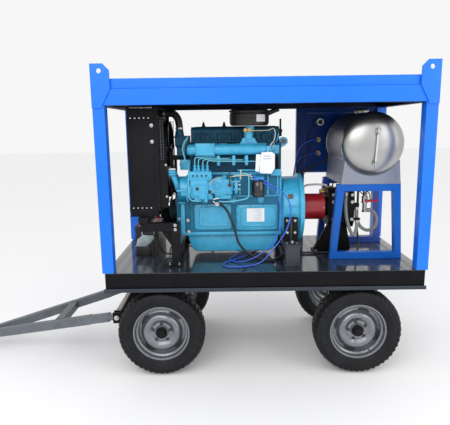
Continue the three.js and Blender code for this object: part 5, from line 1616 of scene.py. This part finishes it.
wires.tube([(KNOB_X, 446, THROTTLE_Z), (470, 420, 1530), (410, 390, 1440), (370, 350, 1380),
            (330, 280, 1300),
            (280, 215, 1250), (200, 196, 1230), (120, 188, 1225)], 2.6, 8)
wires.tube([(KNOB_X, 446, STOP_Z), (470, 420, 1400), (420, 390, 1330), (370, 340, 1270),
            (330, 270, 1240),
            (240, 210, 1210), (120, 190, 1205)], 2.6, 8)
for k in range(4):
    wires.tube([(708 + 44 * k, 452, 1624), (700 + 30 * k, 450, 1570), (640 + 12 * k, 448, 1500),
                (560 + 8 * k, 446, 1400), (440 + 6 * k, 444, 1340), (360, 440, 1290 - 6 * k)], 3, 8)
piece("panel_wiring", "trailer", wires, HOSE)
box_lid = Shape()
box_lid.box(700, 850, 433, 434.4, 1660, 1740, 1)
piece("switch_box_lid", "trailer", box_lid, NAVY_DARKENED_FOR_SHADE)

# ---- floor, light and camera --------------------------------------------
floor = Shape()
floor.box(-30000, 30000, -30000, 30000, -40, -0.5, 0)
floor_mesh = bpy.data.meshes.new("floor")
floor.bm.to_mesh(floor_mesh)
floor.bm.free()
floor_material = material("floor_pale", (247, 247, 248), 0.9, vary=0.01, scale=1, bump=0.02)
floor_mesh.materials.append(floor_material)
floor_object = bpy.data.objects.new("floor", floor_mesh)
bpy.context.scene.collection.objects.link(floor_object)

scene = bpy.context.scene
scene.view_settings.view_transform = "Standard"
world = bpy.data.worlds.new("studio")
world.use_nodes = True
sky = world.node_tree.nodes["Background"]
sky.inputs["Color"].default_value = (0.93, 0.93, 0.93, 1.0)
sky.inputs["Strength"].default_value = 1.0
scene.world = world


def area_light(name, place, target, size, power):
    data = bpy.data.lights.new(name, "AREA")
    data.shape = "RECTANGLE"
    data.size, data.size_y = size
    data.energy = power
    lamp = bpy.data.objects.new(name, data)
    lamp.location = point(*place)
    aim = point(*target) - lamp.location
    lamp.rotation_euler = aim.to_track_quat("-Z", "Y").to_euler()
    scene.collection.objects.link(lamp)


area_light("key_front", (-1800, -5200, 4200), (0, 0, 1000), (5.0, 3.5), 150)
area_light("fill_right", (3800, -3600, 2600), (200, 0, 1100), (3.0, 3.0), 60)

camera_data = bpy.data.cameras.new("camera")
camera_data.lens = 37.741
camera_data.sensor_width = 36.0
camera_data.clip_end = 200
camera = bpy.data.objects.new("camera", camera_data)
yaw, pitch, roll = -0.00499, 0.18034, -0.01337
forward = Vector((math.sin(yaw) * math.cos(pitch), math.cos(yaw) * math.cos(pitch),
                  -math.sin(pitch)))
right = Vector((math.cos(yaw), -math.sin(yaw), 0))
upward = right.cross(forward)
camera_x = math.cos(roll) * right + math.sin(roll) * upward
camera_y = -math.sin(roll) * right + math.cos(roll) * upward
turn = Matrix((camera_x, camera_y, -forward)).transposed()
camera.matrix_world = Matrix.Translation(point(-243.3, -3519.4, 1691.7)) @ turn.to_4x4()
scene.collection.objects.link(camera)
scene.camera = camera
